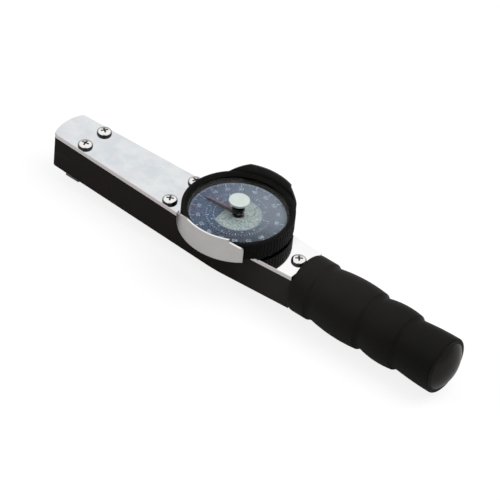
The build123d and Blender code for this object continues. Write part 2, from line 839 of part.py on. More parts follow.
# Dial guard: round base with two upright curved wings turned up from it
wing_span = wing_front_angle - wing_rear_angle
with BuildPart() as dial_guard:
    for wing_start in (-wing_front_angle, wing_rear_angle):
        with BuildSketch(dial_side(wing_start + dial_turn)) as wing_section:
            with BuildLine():
                Polyline(
                    (guard_base_radius / 2, plate_top),
                    (wing_radius, plate_top),
                    (wing_radius, wing_top),
                    (wing_radius - guard_sheet, wing_top),
                    (wing_radius - guard_sheet, guard_top),
                    (guard_base_radius / 2, guard_top),
                    close=True,
                )
            make_face()
            fillet(wing_section.vertices().group_by(Axis.Y)[0].sort_by(Axis.X)[-1], wing_bend)
        revolve(axis=dial_axis, revolution_arc=wing_span)
    with BuildSketch(level(plate_top, dial_x)):
        Circle(guard_base_radius)
    extrude(amount=guard_sheet)
    with BuildSketch(dial_side(dial_turn)):
        with BuildLine():
            ramp_top = (wing_front_x + wing_ramp_run, wing_top)
            ramp_middle = (wing_front_x + wing_ramp_middle_run, plate_top + wing_ramp_middle_height)
            ramp_foot = (wing_front_x, plate_top + wing_ramp_start)
            Polyline(
                ramp_foot,
                (wing_front_x - wing_radius, plate_top + wing_ramp_start),
                (wing_front_x - wing_radius, wing_top + wing_height),
                (wing_front_x + wing_ramp_run, wing_top + wing_height),
                ramp_top,
            )
            ThreePointArc(ramp_top, ramp_middle, ramp_foot)
        make_face()
        with BuildLine():
            slope_end = (wing_slope_x, wing_top - wing_slope_drop)
            wing_end = (wing_end_x + play, wing_top - wing_end_drop)
            Polyline(
                wing_end,
                (wing_radius * 2, wing_top - wing_end_drop),
                (wing_radius * 2, wing_top + wing_height),
                (wing_step_x, wing_top + wing_height),
                (wing_step_x, wing_top - wing_step_drop),
                slope_end,
            )
            TangentArc(
                slope_end,
                wing_end,
                tangent=(wing_slope_x - wing_step_x, wing_step_drop - wing_slope_drop),
            )
        make_face()
    extrude(amount=2 * wing_radius, both=True, mode=Mode.SUBTRACT)
    with BuildSketch(level(plate_top, dial_x)):
        Circle(pivot_bush_radius + play)
        with GridLocations(2 * case_screw_side, 2 * case_screw_side, 2, 2):
            Circle(case_screw_radius + seat_gap)
    extrude(amount=guard_sheet, mode=Mode.SUBTRACT)

# Dial case: shallow pan with a flange that the bezel turns on
flange_bottom = guard_top + case_neck_height
with BuildPart() as dial_case:
    with BuildSketch(level(guard_top, dial_x)):
        Circle(case_neck_radius)
    extrude(amount=case_neck_height)
    with BuildSketch(level(flange_bottom, dial_x)):
        Circle(case_flange_radius)
    extrude(amount=case_flange_height)
    with BuildSketch(level(case_floor_top, dial_x)):
        Circle(case_neck_radius - case_wall)
    extrude(amount=case_top - case_floor_top, mode=Mode.SUBTRACT)
    with BuildSketch(level(guard_top, dial_x)):
        Circle(pivot_bush_radius + play)
    extrude(amount=case_floor, mode=Mode.SUBTRACT)
    with Locations((dial_x, 0, case_floor_top)):
        with GridLocations(2 * case_screw_side, 2 * case_screw_side, 2, 2):
            CounterSinkHole(
                case_screw_radius + seat_gap,
                case_screw_head_radius + seat_gap,
                depth=case_floor,
                counter_sink_angle=sink_angle,
            )

with BuildPart() as case_screws:
    with Locations((dial_x, 0, case_floor_top)):
        with GridLocations(2 * case_screw_side, 2 * case_screw_side, 2, 2):
            Cylinder(
                case_screw_radius,
                case_screw_length,
                align=(Align.CENTER, Align.CENTER, Align.MAX),
            )
            Cone(
                case_screw_radius,
                case_screw_head_radius,
                case_screw_head_radius - case_screw_radius,
                align=(Align.CENTER, Align.CENTER, Align.MAX),
            )

# Bezel ring: ribbed outside, a sloped lip over the lens, and grooves for two rings inside
clip_outer = pocket_radius + snap_ring_bite
clip_bottom = flange_bottom - open_gap - clip_height
with BuildPart() as bezel_ring:
    with BuildSketch(dial_side()):
        with BuildLine():
            Polyline(
                (pocket_radius, bezel_bottom),
                (bezel_radius, bezel_bottom),
                (bezel_radius, bezel_top - bezel_top_edge),
                (bezel_radius - bezel_top_edge, bezel_top),
                (bezel_rim_inner, bezel_top),
                (bezel_lip_radius, lens_top + bezel_lip_height),
                (bezel_lip_radius, lens_top),
                (pocket_radius, lens_top),
                close=True,
            )
        make_face()
    revolve(axis=dial_axis)
    for groove_bottom, groove_height in (
        (clip_bottom, clip_height),
        (snap_ring_bottom, snap_ring_height),
    ):
        with BuildSketch(level(groove_bottom, dial_x)):
            Circle(clip_outer + seat_gap)
        extrude(amount=groove_height + end_play, mode=Mode.SUBTRACT)
    with BuildSketch(level(bezel_bottom, dial_x)):
        with PolarLocations(bezel_radius + bezel_rib_radius - bezel_rib_depth, bezel_rib_count):
            Circle(bezel_rib_radius)
    extrude(amount=bezel_top - bezel_rib_top_gap - bezel_bottom, mode=Mode.SUBTRACT)

# Rings in the bezel's grooves: one holds the face, the other holds the bezel down on the case
ring_radius = pocket_radius - play
with BuildPart() as face_ring:
    with BuildSketch(level(snap_ring_bottom, dial_x)):
        Circle(clip_outer)
        Circle(pocket_radius - snap_ring_reach, mode=Mode.SUBTRACT)
    extrude(amount=snap_ring_height)

with BuildPart() as bezel_clip:
    with BuildSketch(level(clip_bottom, dial_x)):
        Circle(clip_outer)
        Circle(case_neck_radius + open_gap, mode=Mode.SUBTRACT)
    extrude(amount=clip_height)

with BuildPart() as dial_face:
    with BuildSketch(level(face_bottom, dial_x)):
        Circle(ring_radius)
        Circle(hub_radius + face_hole_gap, mode=Mode.SUBTRACT)
    extrude(amount=face_thickness)

with BuildPart() as lens_gasket:
    with BuildSketch(dial_side()):
        with BuildLine():
            Polyline(
                (ring_radius, face_top),
                (ring_radius, lens_bottom),
                (ring_radius - lens_gasket_wall, lens_bottom),
                (ring_radius - lens_gasket_foot, face_top),
                close=True,
            )
        make_face()
    revolve(axis=dial_axis)

with BuildPart() as lens:
    with BuildSketch(level(lens_bottom, dial_x)):
        Circle(ring_radius)
        Circle(stem_bush_radius, mode=Mode.SUBTRACT)
    extrude(amount=lens_thickness)

with BuildPart() as stem_bush:
    with BuildSketch(level(lens_bottom, dial_x)):
        Circle(stem_bush_radius)
    extrude(amount=lens_thickness)
    with BuildSketch(level(lens_top, dial_x)):
        Circle(stem_bush_radius + stem_bush_rim)
    extrude(amount=stem_bush_flange)
    with BuildSketch(level(lens_bottom, dial_x)):
        Circle(stem_bush_bore)
    extrude(amount=lens_thickness + stem_bush_flange, mode=Mode.SUBTRACT)

# Reset knob, its stem through the lens and the memory pointer under the lens
collar_bottom = lens_top + stem_bush_flange + play
with BuildPart() as knob_stem:
    with BuildSketch(level(collar_bottom, dial_x)):
        Circle(stem_collar_radius)
    extrude(amount=stem_collar_height)
    with BuildSketch(level(collar_bottom, dial_x)):
        Circle(stem_neck_radius)
    extrude(amount=knob_bottom - collar_bottom)
    with BuildSketch(level(memory_bottom + pointer_thickness, dial_x)):
        Circle(stem_radius)
    extrude(amount=collar_bottom - memory_bottom - pointer_thickness)
    with BuildSketch(level(memory_bottom, dial_x)):
        Circle(stem_pin_radius)
    extrude(amount=pointer_thickness)

with BuildPart() as reset_knob:
    with BuildSketch(level(knob_bottom, dial_x)):
        Circle(knob_radius)
    extrude(amount=knob_thickness)
    fillet(reset_knob.faces().sort_by(Axis.Z)[-1].edges(), knob_dome)

with BuildPart() as memory_pointer:
    with BuildSketch(level(memory_bottom, dial_x)):
        add(pointer_plan(memory_pointer_length, stem_pin_radius))
    extrude(amount=pointer_thickness)

# Rear block: fills the channel behind the dial and holds the handle tube
tube_pin_xs = [block_front + tube_pin_inset + n * tube_pin_spacing for n in range(2)]
tube_plane = Plane(origin=(block_front, 0, handle_z), x_dir=(0, 1, 0), z_dir=(1, 0, 0))
pin_plane = Plane(origin=(0, 0, handle_z), x_dir=(1, 0, 0), z_dir=(0, -1, 0))
with BuildPart() as rear_block:
    with BuildSketch(level(floor_top, block_front)):
        Rectangle(block_length, 2 * block_half_width, align=(Align.MIN, Align.CENTER))
    extrude(amount=housing_top - floor_top)
    with BuildSketch(tube_plane):
        Circle(tube_radius + seat_gap)
    extrude(amount=block_length, mode=Mode.SUBTRACT)
    with BuildSketch(pin_plane):
        with Locations(*[(x, 0) for x in tube_pin_xs]):
            Circle(tube_pin_radius + seat_gap)
    extrude(amount=block_half_width, both=True, mode=Mode.SUBTRACT)
    with BuildSketch(level(handle_z)):
        with Locations(rear_spot):
            Circle(screw_radius + seat_gap)
    extrude(amount=housing_top - handle_z, mode=Mode.SUBTRACT)
    with BuildSketch(level(floor_top)):
        with Locations(*block_screw_spots):
            Circle(block_screw_radius + seat_gap)
    extrude(amount=housing_bottom + block_screw_length - floor_top, mode=Mode.SUBTRACT)

with BuildPart() as block_screws:
    with Locations(*[(x, y, housing_bottom) for x, y in block_screw_spots]):
        Cylinder(
            block_screw_radius,
            block_screw_length,
            align=(Align.CENTER, Align.CENTER, Align.MIN),
        )
        Cone(
            block_screw_head_radius,
            block_screw_radius,
            block_screw_head_radius - block_screw_radius,
            align=(Align.CENTER, Align.CENTER, Align.MIN),
        )

# Handle tube and the pins that hold it in the block
grip_end = rear_x + grip_length
cap_seat = grip_end - cap_seat_depth
with BuildPart() as handle_tube:
    with BuildSketch(tube_plane):
        Circle(tube_radius)
        Circle(tube_radius - tube_wall, mode=Mode.SUBTRACT)
    extrude(amount=cap_seat - block_front)
    with BuildSketch(pin_plane):
        with Locations(*[(x, 0) for x in tube_pin_xs]):
            Circle(tube_pin_radius + seat_gap)
    extrude(amount=tube_radius, both=True, mode=Mode.SUBTRACT)
    with BuildSketch(level(handle_z)):
        with Locations(rear_spot):
            Circle(screw_radius + seat_gap)
    extrude(amount=housing_top - handle_z, mode=Mode.SUBTRACT)

with BuildPart() as tube_pins:
    with BuildSketch(pin_plane):
        with Locations(*[(x, 0) for x in tube_pin_xs]):
            Circle(tube_pin_radius)
    extrude(amount=block_half_width, both=True)

# Grip: rubber sleeve with a soft swell between the steps down to its ring grooves
grip_side = Plane(origin=(rear_x, 0, handle_z), x_dir=(1, 0, 0), z_dir=(0, -1, 0))
with BuildPart() as grip:
    with BuildSketch(grip_side):
        with BuildLine():
            corner = (0, grip_front_radius - grip_front_round)
            shoulder = (grip_front_round, grip_front_radius)
            RadiusArc(corner, shoulder, grip_front_round)
            last = (groove_places[0] - groove_step_run, grip_front_radius)
            Line(shoulder, last)
            bulge_stops = [place - groove_step_run for place in groove_places[1:]]
            bulge_stops.append(grip_length - grip_end_round)
            for place, floor_radius, middle_radius, end_radius, bulge_stop in zip(
                groove_places,
                groove_floor_radii,
                bulge_middle_radii,
                bulge_end_radii,
                bulge_stops,
            ):
                groove_floor = (place, floor_radius)
                TangentArc(groove_floor, last, tangent=(-1, 0))
                bulge_middle = ((place + bulge_stop) / 2, middle_radius)
                last = (bulge_stop, end_radius)
                ThreePointArc(groove_floor, bulge_middle, last)
            end_corner = (grip_length, last[1] - grip_end_round)
            RadiusArc(last, end_corner, grip_end_round)
            Polyline(
                end_corner,
                (grip_length, cap_radius + play),
                (grip_length - cap_seat_depth, cap_radius + play),
                (grip_length - cap_seat_depth, tube_radius + seat_gap),
                (0, tube_radius + seat_gap),
                corner,
            )
        make_face()
    revolve(axis=handle_axis)

# End cap: domed plug in the end of the tube
with BuildPart() as end_cap:
    with BuildSketch(grip_side):
        with BuildLine():
            cap_rim = (grip_length + play, cap_radius)
            cap_top = (grip_length + cap_rise, 0)
            Polyline(
                cap_top,
                (grip_length - cap_plug_length, 0),
                (grip_length - cap_plug_length, tube_radius - tube_wall - play),
                (grip_length - cap_seat_depth, tube_radius - tube_wall - play),
                (grip_length - cap_seat_depth, cap_radius),
                cap_rim,
            )
            TangentArc(cap_top, cap_rim, tangent=(0, 1))
        make_face()
    revolve(axis=handle_axis)

pieces = {
    "housing": housing,
    "cover_plate": cover_plate,
    "cover_screws": cover_screws,
    "bearing_plate": bearing_plate,
    "lower_arbor_bush": lower_arbor_bush,
    "upper_arbor_bush": upper_arbor_bush,
    "drive_arbor": drive_arbor,
    "detent_ball": detent_ball,
    "detent_spring": detent_spring,
    "spring_beam": spring_beam,
    "beam_dowels": beam_dowels,
    "reaction_pins": reaction_pins,
    "indicator_arm": indicator_arm,
    "arm_screws": arm_screws,
    "sector_gear": sector_gear,
    "sector_rivets": sector_rivets,
    "movement_pillars": movement_pillars,
    "movement_plate": movement_plate,
    "movement_screws": movement_screws,
    "lower_pivot_bush": lower_pivot_bush,
    "upper_pivot_bush": upper_pivot_bush,
    "pinion_shaft": pinion_shaft,
    "hairspring_collet": hairspring_collet,
    "hairspring": hairspring,
    "hairspring_stud": hairspring_stud,
    "pointer_hub": pointer_hub,
    "main_pointer": main_pointer,
    "dial_guard": dial_guard,
    "dial_case": dial_case,
    "case_screws": case_screws,
    "bezel_ring": bezel_ring,
    "face_ring": face_ring,
    "bezel_clip": bezel_clip,
    "dial_face": dial_face,
    "lens_gasket": lens_gasket,
    "lens": lens,
    "stem_bush": stem_bush,
    "knob_stem": knob_stem,
    "reset_knob": reset_knob,
    "memory_pointer": memory_pointer,
    "rear_block": rear_block,
    "block_screws": block_screws,
    "handle_tube": handle_tube,
    "tube_pins": tube_pins,
    "grip": grip,
    "end_cap": end_cap,
}
for name, piece in pieces.items():
    piece.part.label = name
    export_step(piece.part, "parts/" + name + ".step")
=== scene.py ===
# %% [markdown]
# # A dial torque wrench
# A slim black channel with a bright plate on top, a round dial between two upright guards and a rubber
# grip. The moving frame of the tool is given: it holds every piece at its real size and place. This
# lesson gives each piece its finish, and models again the pieces whose edges, recesses or printing the
# camera comes close to.

# %% Load the frame and measure it
import json
import math

import bmesh
import bpy
from mathutils import Matrix, Vector


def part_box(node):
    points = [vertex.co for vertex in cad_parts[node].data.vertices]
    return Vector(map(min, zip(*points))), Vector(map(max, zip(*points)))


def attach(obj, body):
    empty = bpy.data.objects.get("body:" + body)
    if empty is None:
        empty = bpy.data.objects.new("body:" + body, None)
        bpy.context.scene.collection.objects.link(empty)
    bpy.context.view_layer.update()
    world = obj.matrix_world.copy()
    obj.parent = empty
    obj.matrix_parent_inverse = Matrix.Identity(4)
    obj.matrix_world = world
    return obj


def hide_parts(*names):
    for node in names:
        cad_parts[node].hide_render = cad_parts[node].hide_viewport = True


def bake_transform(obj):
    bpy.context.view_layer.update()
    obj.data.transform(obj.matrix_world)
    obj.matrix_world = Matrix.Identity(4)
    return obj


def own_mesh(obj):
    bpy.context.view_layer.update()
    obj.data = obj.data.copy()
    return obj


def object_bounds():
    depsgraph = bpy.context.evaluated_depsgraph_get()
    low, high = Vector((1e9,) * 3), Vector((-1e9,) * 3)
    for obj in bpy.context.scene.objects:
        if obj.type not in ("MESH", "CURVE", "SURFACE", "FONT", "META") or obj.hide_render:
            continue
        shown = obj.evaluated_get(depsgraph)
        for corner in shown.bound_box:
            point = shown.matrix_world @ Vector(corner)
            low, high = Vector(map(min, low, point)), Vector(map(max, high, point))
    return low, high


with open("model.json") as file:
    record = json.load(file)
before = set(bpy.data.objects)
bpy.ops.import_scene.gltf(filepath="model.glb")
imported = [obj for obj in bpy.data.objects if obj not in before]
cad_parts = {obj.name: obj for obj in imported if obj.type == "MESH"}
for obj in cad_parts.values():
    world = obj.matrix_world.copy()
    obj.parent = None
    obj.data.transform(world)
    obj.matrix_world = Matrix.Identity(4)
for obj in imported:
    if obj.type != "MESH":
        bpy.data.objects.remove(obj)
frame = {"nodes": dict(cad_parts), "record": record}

cad_low, cad_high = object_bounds()
nodes = frame["nodes"]
MM = 0.001  # a millimetre, in Blender's metres
plate_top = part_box("cover_plate")[1].z
face_low, face_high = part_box("dial_face")
dial_centre = (face_low + face_high) / 2
face_radius = (face_high.x - face_low.x) / 2
grip_low, grip_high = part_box("grip")
rear_gradient_start = dial_centre.x + 22 * MM
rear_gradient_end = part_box("cover_plate")[1].x - 12 * MM
print("overall size in mm:", [round(side / MM, 1) for side in cad_high - cad_low])
print("dial centre in mm:", [round(side / MM, 1) for side in dial_centre])

# %% [markdown]
# ## Camera
# The photograph looks down at about forty degrees, from the near side and a little from the nose, and the
# tool leans a few degrees clockwise in the picture. A long lens far away keeps the edges nearly parallel.
# The camera is turned, not shifted, so that the dial falls where it does in the picture and other views
# keep their framing.

# %% Camera
azimuth = math.radians(35.8)
elevation = math.radians(40.2)
picture_lean = math.radians(5.875)
camera_distance = 1.667
picture_width = 500
pixels_per_metre = 1957
dial_pixel = (236.95, 224.02)
sensor_width = 36


def camera_axes():
    """Right, up and backward directions of the camera before it is turned to frame the tool."""
    right = Vector((math.cos(azimuth), math.sin(azimuth), 0))
    backward = Vector((
        math.sin(azimuth) * math.cos(elevation),
        -math.cos(azimuth) * math.cos(elevation),
        math.sin(elevation),
    ))
    up = backward.cross(right)
    lean = Matrix.Rotation(picture_lean, 3, backward)
    return lean @ right, lean @ up, backward


right, up, backward = camera_axes()
dial_on_plate = Vector((dial_centre.x, 0, plate_top))
aim_right = (picture_width / 2 - dial_pixel[0]) / pixels_per_metre
aim_down = (picture_width / 2 - dial_pixel[1]) / pixels_per_metre
aim = dial_on_plate + right * aim_right - up * aim_down
place = dial_on_plate + backward * camera_distance
look = (place - aim).normalized()
side = up.cross(look).normalized()
turned = Matrix((side, look.cross(side), look)).transposed().to_4x4()

camera_data = bpy.data.cameras.new("camera")
camera_data.sensor_width = sensor_width
camera_data.lens = pixels_per_metre * camera_distance / picture_width * sensor_width
camera = bpy.data.objects.new("camera", camera_data)
camera.matrix_world = Matrix.Translation(place) @ turned
bpy.context.scene.collection.objects.link(camera)
bpy.context.scene.camera = camera
print("lens in mm:", round(camera_data.lens, 1))

# %% [markdown]
# ## Sums on sockets
# A finish is a small graph of nodes, and most of its nodes are sums. Wired by hand, a sum of three masks
# is a dozen lines. Here a socket is wrapped so that plus, minus and times on it add the Math nodes, and
# one method of the finish makes every other node. A texture is then written as the expression that it is.

# %% Socket that takes part in sums
class Wire:
    """An output socket that takes part in sums: each operator adds one Math node."""

    def __init__(self, finish, socket):
        self.finish = finish
        self.socket = socket

    def math(self, operation, *values):
        """A Math node on sockets or numbers."""
        return self.finish.node("ShaderNodeMath", {"operation": operation}, dict(enumerate(values)))

    def __add__(self, other):
        return self.math("ADD", self, other)

    def __sub__(self, other):
        return self.math("SUBTRACT", self, other)

    def __rsub__(self, other):
        return self.math("SUBTRACT", other, self)

    def __mul__(self, other):
        return self.math("MULTIPLY", self, other)

    __radd__ = __add__
    __rmul__ = __mul__

    def step(self, low, high):
        """0 below low, 1 above high and smooth in between."""
        inputs = {"Value": self, "From Min": low, "From Max": high}
        return self.finish.node("ShaderNodeMapRange", {"interpolation_type": "SMOOTHSTEP"}, inputs)


# %% [markdown]
# Each material is one object of the next class. Its methods add a place, a noise or a blend of colours,
# and link the result to the shader. Every pattern reads the Object coordinates, because these stay with
# a piece when it moves, and are in metres on all pieces alike.

# %% Material that is built by method calls
class Finish:
    """One material: plain numbers of its Principled shader are given, and the methods add its nodes."""

    def __init__(self, name, **plain):
        self.material = bpy.data.materials.new(name)
        self.material.use_nodes = True
        self.tree = self.material.node_tree
        self.shader = self.tree.nodes["Principled BSDF"]
        for socket, value in plain.items():
            self.shader.inputs[socket.replace("_", " ")].default_value = value

    def node(self, kind, settings, inputs, output=0):
        """Any node: its settings are made first, then its sockets get values or links."""
        made = self.tree.nodes.new(kind)
        for name, value in settings.items():
            setattr(made, name, value)
        for name, value in inputs.items():
            if isinstance(value, Wire):
                self.tree.links.new(value.socket, made.inputs[name])
            else:
                made.inputs[name].default_value = value
        return Wire(self, made.outputs[output])

    def place(self):
        """Place on the piece, in metres from the tool's origin."""
        return self.node("ShaderNodeTexCoord", {}, {}, "Object")

    def moved(self, shift, stretch=(1, 1, 1)):
        """Place on the piece measured from another point, with each axis stretched by its own factor."""
        location = [-s * k for s, k in zip(shift, stretch)]
        inputs = {"Vector": self.place(), "Location": location, "Scale": stretch}
        return self.node("ShaderNodeMapping", {}, inputs)

    def noise(self, scale, detail=2.0, stretch=(1, 1, 1)):
        """Soft noise from 0 to 1, with about scale bumps in a metre."""
        vector = self.moved((0, 0, 0), stretch)
        return self.node("ShaderNodeTexNoise", {}, {"Vector": vector, "Scale": scale, "Detail": detail})

    def axis(self, name):
        """Place along one of the tool's axes, in metres."""
        return self.node("ShaderNodeSeparateXYZ", {}, {"Vector": self.place()}, name)

    def along(self, direction, start):
        """Distance from a start point along a direction."""
        inputs = {0: self.moved(tuple(start)), 1: direction}
        return self.node("ShaderNodeVectorMath", {"operation": "DOT_PRODUCT"}, inputs, "Value")

    def radius(self, centre):
        """Distance from an upright line through a point."""
        vector = self.moved(centre, (1, 1, 0))
        return self.node("ShaderNodeVectorMath", {"operation": "LENGTH"}, {"Vector": vector}, "Value")

    def attribute(self, name):
        """A number that is stored on the mesh."""
        return self.node("ShaderNodeAttribute", {"attribute_name": name}, {}, "Fac")

    def blend(self, share, first, second):
        """Colour between two colours."""
        made = self.node("ShaderNodeMix", {"data_type": "RGBA"}, {"Factor": share}, "Result")
        mix = made.socket.node
        for index, colour in ((6, first), (7, second)):
            if isinstance(colour, Wire):
                self.tree.links.new(colour.socket, mix.inputs[index])
            else:
                mix.inputs[index].default_value = (*colour, 1)
        return Wire(self, mix.outputs[2])

    def colour(self, wire):
        """Colour of the surface."""
        self.tree.links.new(wire.socket, self.shader.inputs["Base Color"])

    def roughness(self, wire):
        """0 is a mirror, 1 is chalk."""
        self.tree.links.new(wire.socket, self.shader.inputs["Roughness"])

    def metallic(self, wire):
        """1 where bare metal shows."""
        self.tree.links.new(wire.socket, self.shader.inputs["Metallic"])

    def bump(self, height, depth):
        """Small relief: a height from 0 to 1 stands for a depth in metres."""
        inputs = {"Height": height, "Distance": depth, "Strength": 1.0}
        bump = self.node("ShaderNodeBump", {}, inputs)
        self.tree.links.new(bump.socket, self.shader.inputs["Normal"])


# %% [markdown]
# ## Painted and moulded blacks
# The channel is enamelled steel, the bezel a matt moulding, the cap a glossy one and the grip rubber. All
# are nearly black, so what tells them apart is how they shine. Each gets its own roughness and relief,
# and a colour that is never quite even. A low specular level keeps them as deep as in the photograph
# under this much light.
#
# The enamel has a slightly warm black, long faint scuffs and a fine orange peel. Towards the grip it is
# lighter in colour.

# %% Enamel of the channel
def black_enamel():
    """Satin enamel: faint orange peel, and a warmth like dust that comes and goes."""
    finish = Finish("black_enamel", Specular_IOR_Level=0.07)
    clouds = finish.noise(60, 4.0)
    scuffs = finish.noise(220, 6.0, (0.25, 1, 1)).step(0.62, 0.75)
    warm = finish.blend(clouds, (0.0075, 0.0055, 0.0044), (0.0125, 0.0094, 0.0078))
    rear = finish.axis("X").step(dial_centre.x, rear_gradient_end)
    # Lighter towards the grip.
    enamel_rear_lighter = finish.blend(rear * 0.8, warm, (0.024, 0.0225, 0.0205))
    finish.colour(finish.blend(scuffs * 0.3, enamel_rear_lighter, (0.035, 0.030, 0.026)))
    finish.roughness(0.38 + clouds * 0.16 + scuffs * 0.1)
    finish.bump(finish.noise(900, 2.0), 0.03 * MM)
    return finish.material


# %% [markdown]
# The bezel is moulded in a tool whose walls are spark eroded, which leaves a fine even grain and a matt
# black. A fine noise in the bump gives that grain, and a coarser one lays a little dust in the colour.

# %% Moulding of the bezel
def bezel_moulding():
    """Matt moulding with a fine spark-eroded grain."""
    finish = Finish("bezel_moulding", Specular_IOR_Level=0.07)
    dust = finish.noise(150, 4.0).step(0.45, 0.8)
    finish.colour(finish.blend(dust * 0.6, (0.0035, 0.0033, 0.0031), (0.010, 0.0094, 0.0088)))
    finish.roughness(0.5 + dust * 0.18)
    finish.bump(finish.noise(3500, 2.0), 0.02 * MM)
    return finish.material


# %% [markdown]
# The cap at the end of the grip is moulded in a polished tool. It needs a low roughness to keep its
# highlight, and a soft haze in it where hands have been.

# %% Moulding of the cap
def glossy_moulding():
    """Polished moulding: bright highlights with a little handling haze."""
    finish = Finish("glossy_moulding", Specular_IOR_Level=0.22)
    haze = finish.noise(120, 4.0)
    finish.colour(finish.blend(haze, (0.004, 0.0034, 0.0028), (0.008, 0.0068, 0.0058)))
    finish.roughness(0.12 + haze * 0.14)
    finish.bump(finish.noise(400, 2.0), 0.01 * MM)
    return finish.material


# %% [markdown]
# Rubber is matt and finely pitted. Two blacks, a lighter and a darker one, are blended along the tool's
# length and height: the top is lighter as painted light, most of all towards the dial, and the underside
# is darker as painted shade. Specks lie on top only.

# %% Rubber of the grip
def grip_rubber():
    """Moulded rubber: matt, finely pitted, lighter on top as painted light, most of all towards the dial.
    """
    finish = Finish("grip_rubber", Specular_IOR_Level=0.12)
    clouds = finish.noise(90, 5.0)
    specks = finish.noise(1400, 3.0).step(0.66, 0.76)
    rear = finish.axis("X").step(grip_low.x, grip_high.x)
    # Lighter black on top towards the dial, darker black elsewhere: painted light on top, painted shade
    # underneath.
    lighter_black = finish.blend(clouds, (0.0046, 0.0042, 0.0034), (0.0085, 0.0078, 0.0064))
    darker_black = finish.blend(clouds, (0.0014, 0.0013, 0.0010), (0.0032, 0.0029, 0.0024))
    # Height on the grip, the mask of the painted top light.
    above = finish.axis("Z").step(grip_low.z, grip_low.lerp(grip_high, 0.8).z)
    rubber = finish.blend(above, darker_black, finish.blend(rear, lighter_black, darker_black))
    finish.colour(finish.blend(specks * above * 0.3, rubber, (0.035, 0.034, 0.030)))
    finish.roughness(0.42 + clouds * 0.2)
    pits = finish.noise(2600, 3.0)
    finish.bump(pits * 0.7 + clouds * 0.3, 0.05 * MM)
    return finish.material


# %% [markdown]
# Hardly any of the seal under the lens can be seen. A rough, even black is enough.

# %% Gasket
def black_gasket():
    """Soft seal under the lens."""
    finish = Finish("black_gasket", Specular_IOR_Level=0.06)
    grain = finish.noise(1200, 3.0)
    finish.colour(finish.blend(grain, (0.0035, 0.0035, 0.0033), (0.008, 0.0078, 0.0072)))
    finish.roughness(0.65 + grain * 0.2)
    return finish.material


# %% [markdown]
# ## Bright metals
# A metal has almost no colour of its own beyond its tint: it shows what stands around it. Its finish lies
# in the roughness, which differs along the brushing, and in smudges.
#
# The cover plate is nearly a mirror, brushed lengthwise. In front it has faint cool smudges, and near the
# grip it is lighter, nearly white. Its sheared edge is duller, so the depth below the plate's top chooses
# between face and edge.

# %% Bright cover plate
def bright_plate():
    """Plated cover: smudged in front, lighter in the rear, with duller sheared edges."""
    finish = Finish("bright_plate", Metallic=1.0)
    brushing = finish.noise(2400, 3.0, (0.02, 1, 1))
    smudges = finish.noise(150, 4.0)
    tint = finish.noise(210, 3.0, (1, 0.6, 1)).step(0.35, 0.65)
    rear = finish.axis("X").step(rear_gradient_start, rear_gradient_end)
    cool = finish.blend(tint, (0.66, 0.70, 0.73), (0.72, 0.71, 0.74))
    front = finish.blend(smudges.step(0.3, 0.7), cool, (0.76, 0.79, 0.80))
    # Lighter, nearly white, towards the grip.
    top = finish.blend(rear, front, (0.96, 0.95, 0.95))
    depth = plate_top - finish.axis("Z")
    edge = finish.blend(depth.step(0.2 * MM, 0.3 * MM), (0.62, 0.57, 0.57), (0.80, 0.74, 0.74))
    finish.colour(finish.blend(depth.step(0.01 * MM, 0.04 * MM), top, edge))
    duller = depth.step(0.01 * MM, 0.3 * MM) * 0.2
    finish.roughness(0.035 + brushing * 0.02 + smudges * 0.03 + duller)
    finish.bump(brushing, 0.0006 * MM)
    return finish.material


# %% [markdown]
# The guard is a plated pressing with a satin outside, and a painted highlight along the near wing's rim.
# The faces that look towards the dial, and the far wing's edges too, carry painted shade and dark
# reflection. Which face is which is stored on the mesh later, and read here by name.

# %% Plating of the guard
def guard_plating():
    """Plated pressing: satin outside, a painted highlight along the near rim, and painted shade on the
    faces towards the dial.
    """
    finish = Finish("guard_plating")
    clouds = finish.noise(140, 4.0)
    rim = finish.attribute("rim")
    inside = finish.attribute("inside")
    face = finish.blend(clouds, (0.62, 0.60, 0.585), (0.72, 0.695, 0.68))
    # Painted highlight along the near wing's upper rim.
    with_painted_highlight = finish.blend(rim, face, (0.95, 0.94, 0.94))
    # Painted shade and dark reflection on the faces towards the dial and on the far wing's edges.
    finish.colour(finish.blend(inside, with_painted_highlight, (0.006, 0.0056, 0.005)))
    finish.metallic(1 - inside)
    finish.roughness(0.26 + clouds * 0.08 - rim * 0.1 + inside * 0.3)
    finish.bump(finish.noise(1800, 2.0), 0.004 * MM)
    return finish.material


# %% [markdown]
# A screw head is polished on top, where it is seen most. Its upright side is dull and darkened as a
# painted dark reflection, and the cross is darkened as painted shade.

# %% Plating of the screws
def screw_plating():
    """Bright screw head with painted shade in the recess and a painted dark reflection on its dull sides.
    """
    finish = Finish("screw_plating")
    recess = finish.attribute("recess")
    side = finish.attribute("side")
    grain = finish.noise(1500, 3.0)
    # The dull side gets a painted dark reflection.
    plating_with_painted_side = finish.blend(side, (0.88, 0.87, 0.86), (0.05, 0.046, 0.044))
    # The cross recess gets painted shade.
    finish.colour(finish.blend(recess, plating_with_painted_side, (0.05, 0.046, 0.042)))
    finish.metallic(1.0 - recess * 0.6)
    finish.roughness(0.05 + grain * 0.04 + recess * 0.35 + side * 0.25)
    return finish.material


# %% [markdown]
# The pieces inside differ by how they were made. Turned brass has rings about the dial's axis, which are
# a sine of the distance from that axis. Ground steel has streaks along one direction, which are noise
# stretched that way.

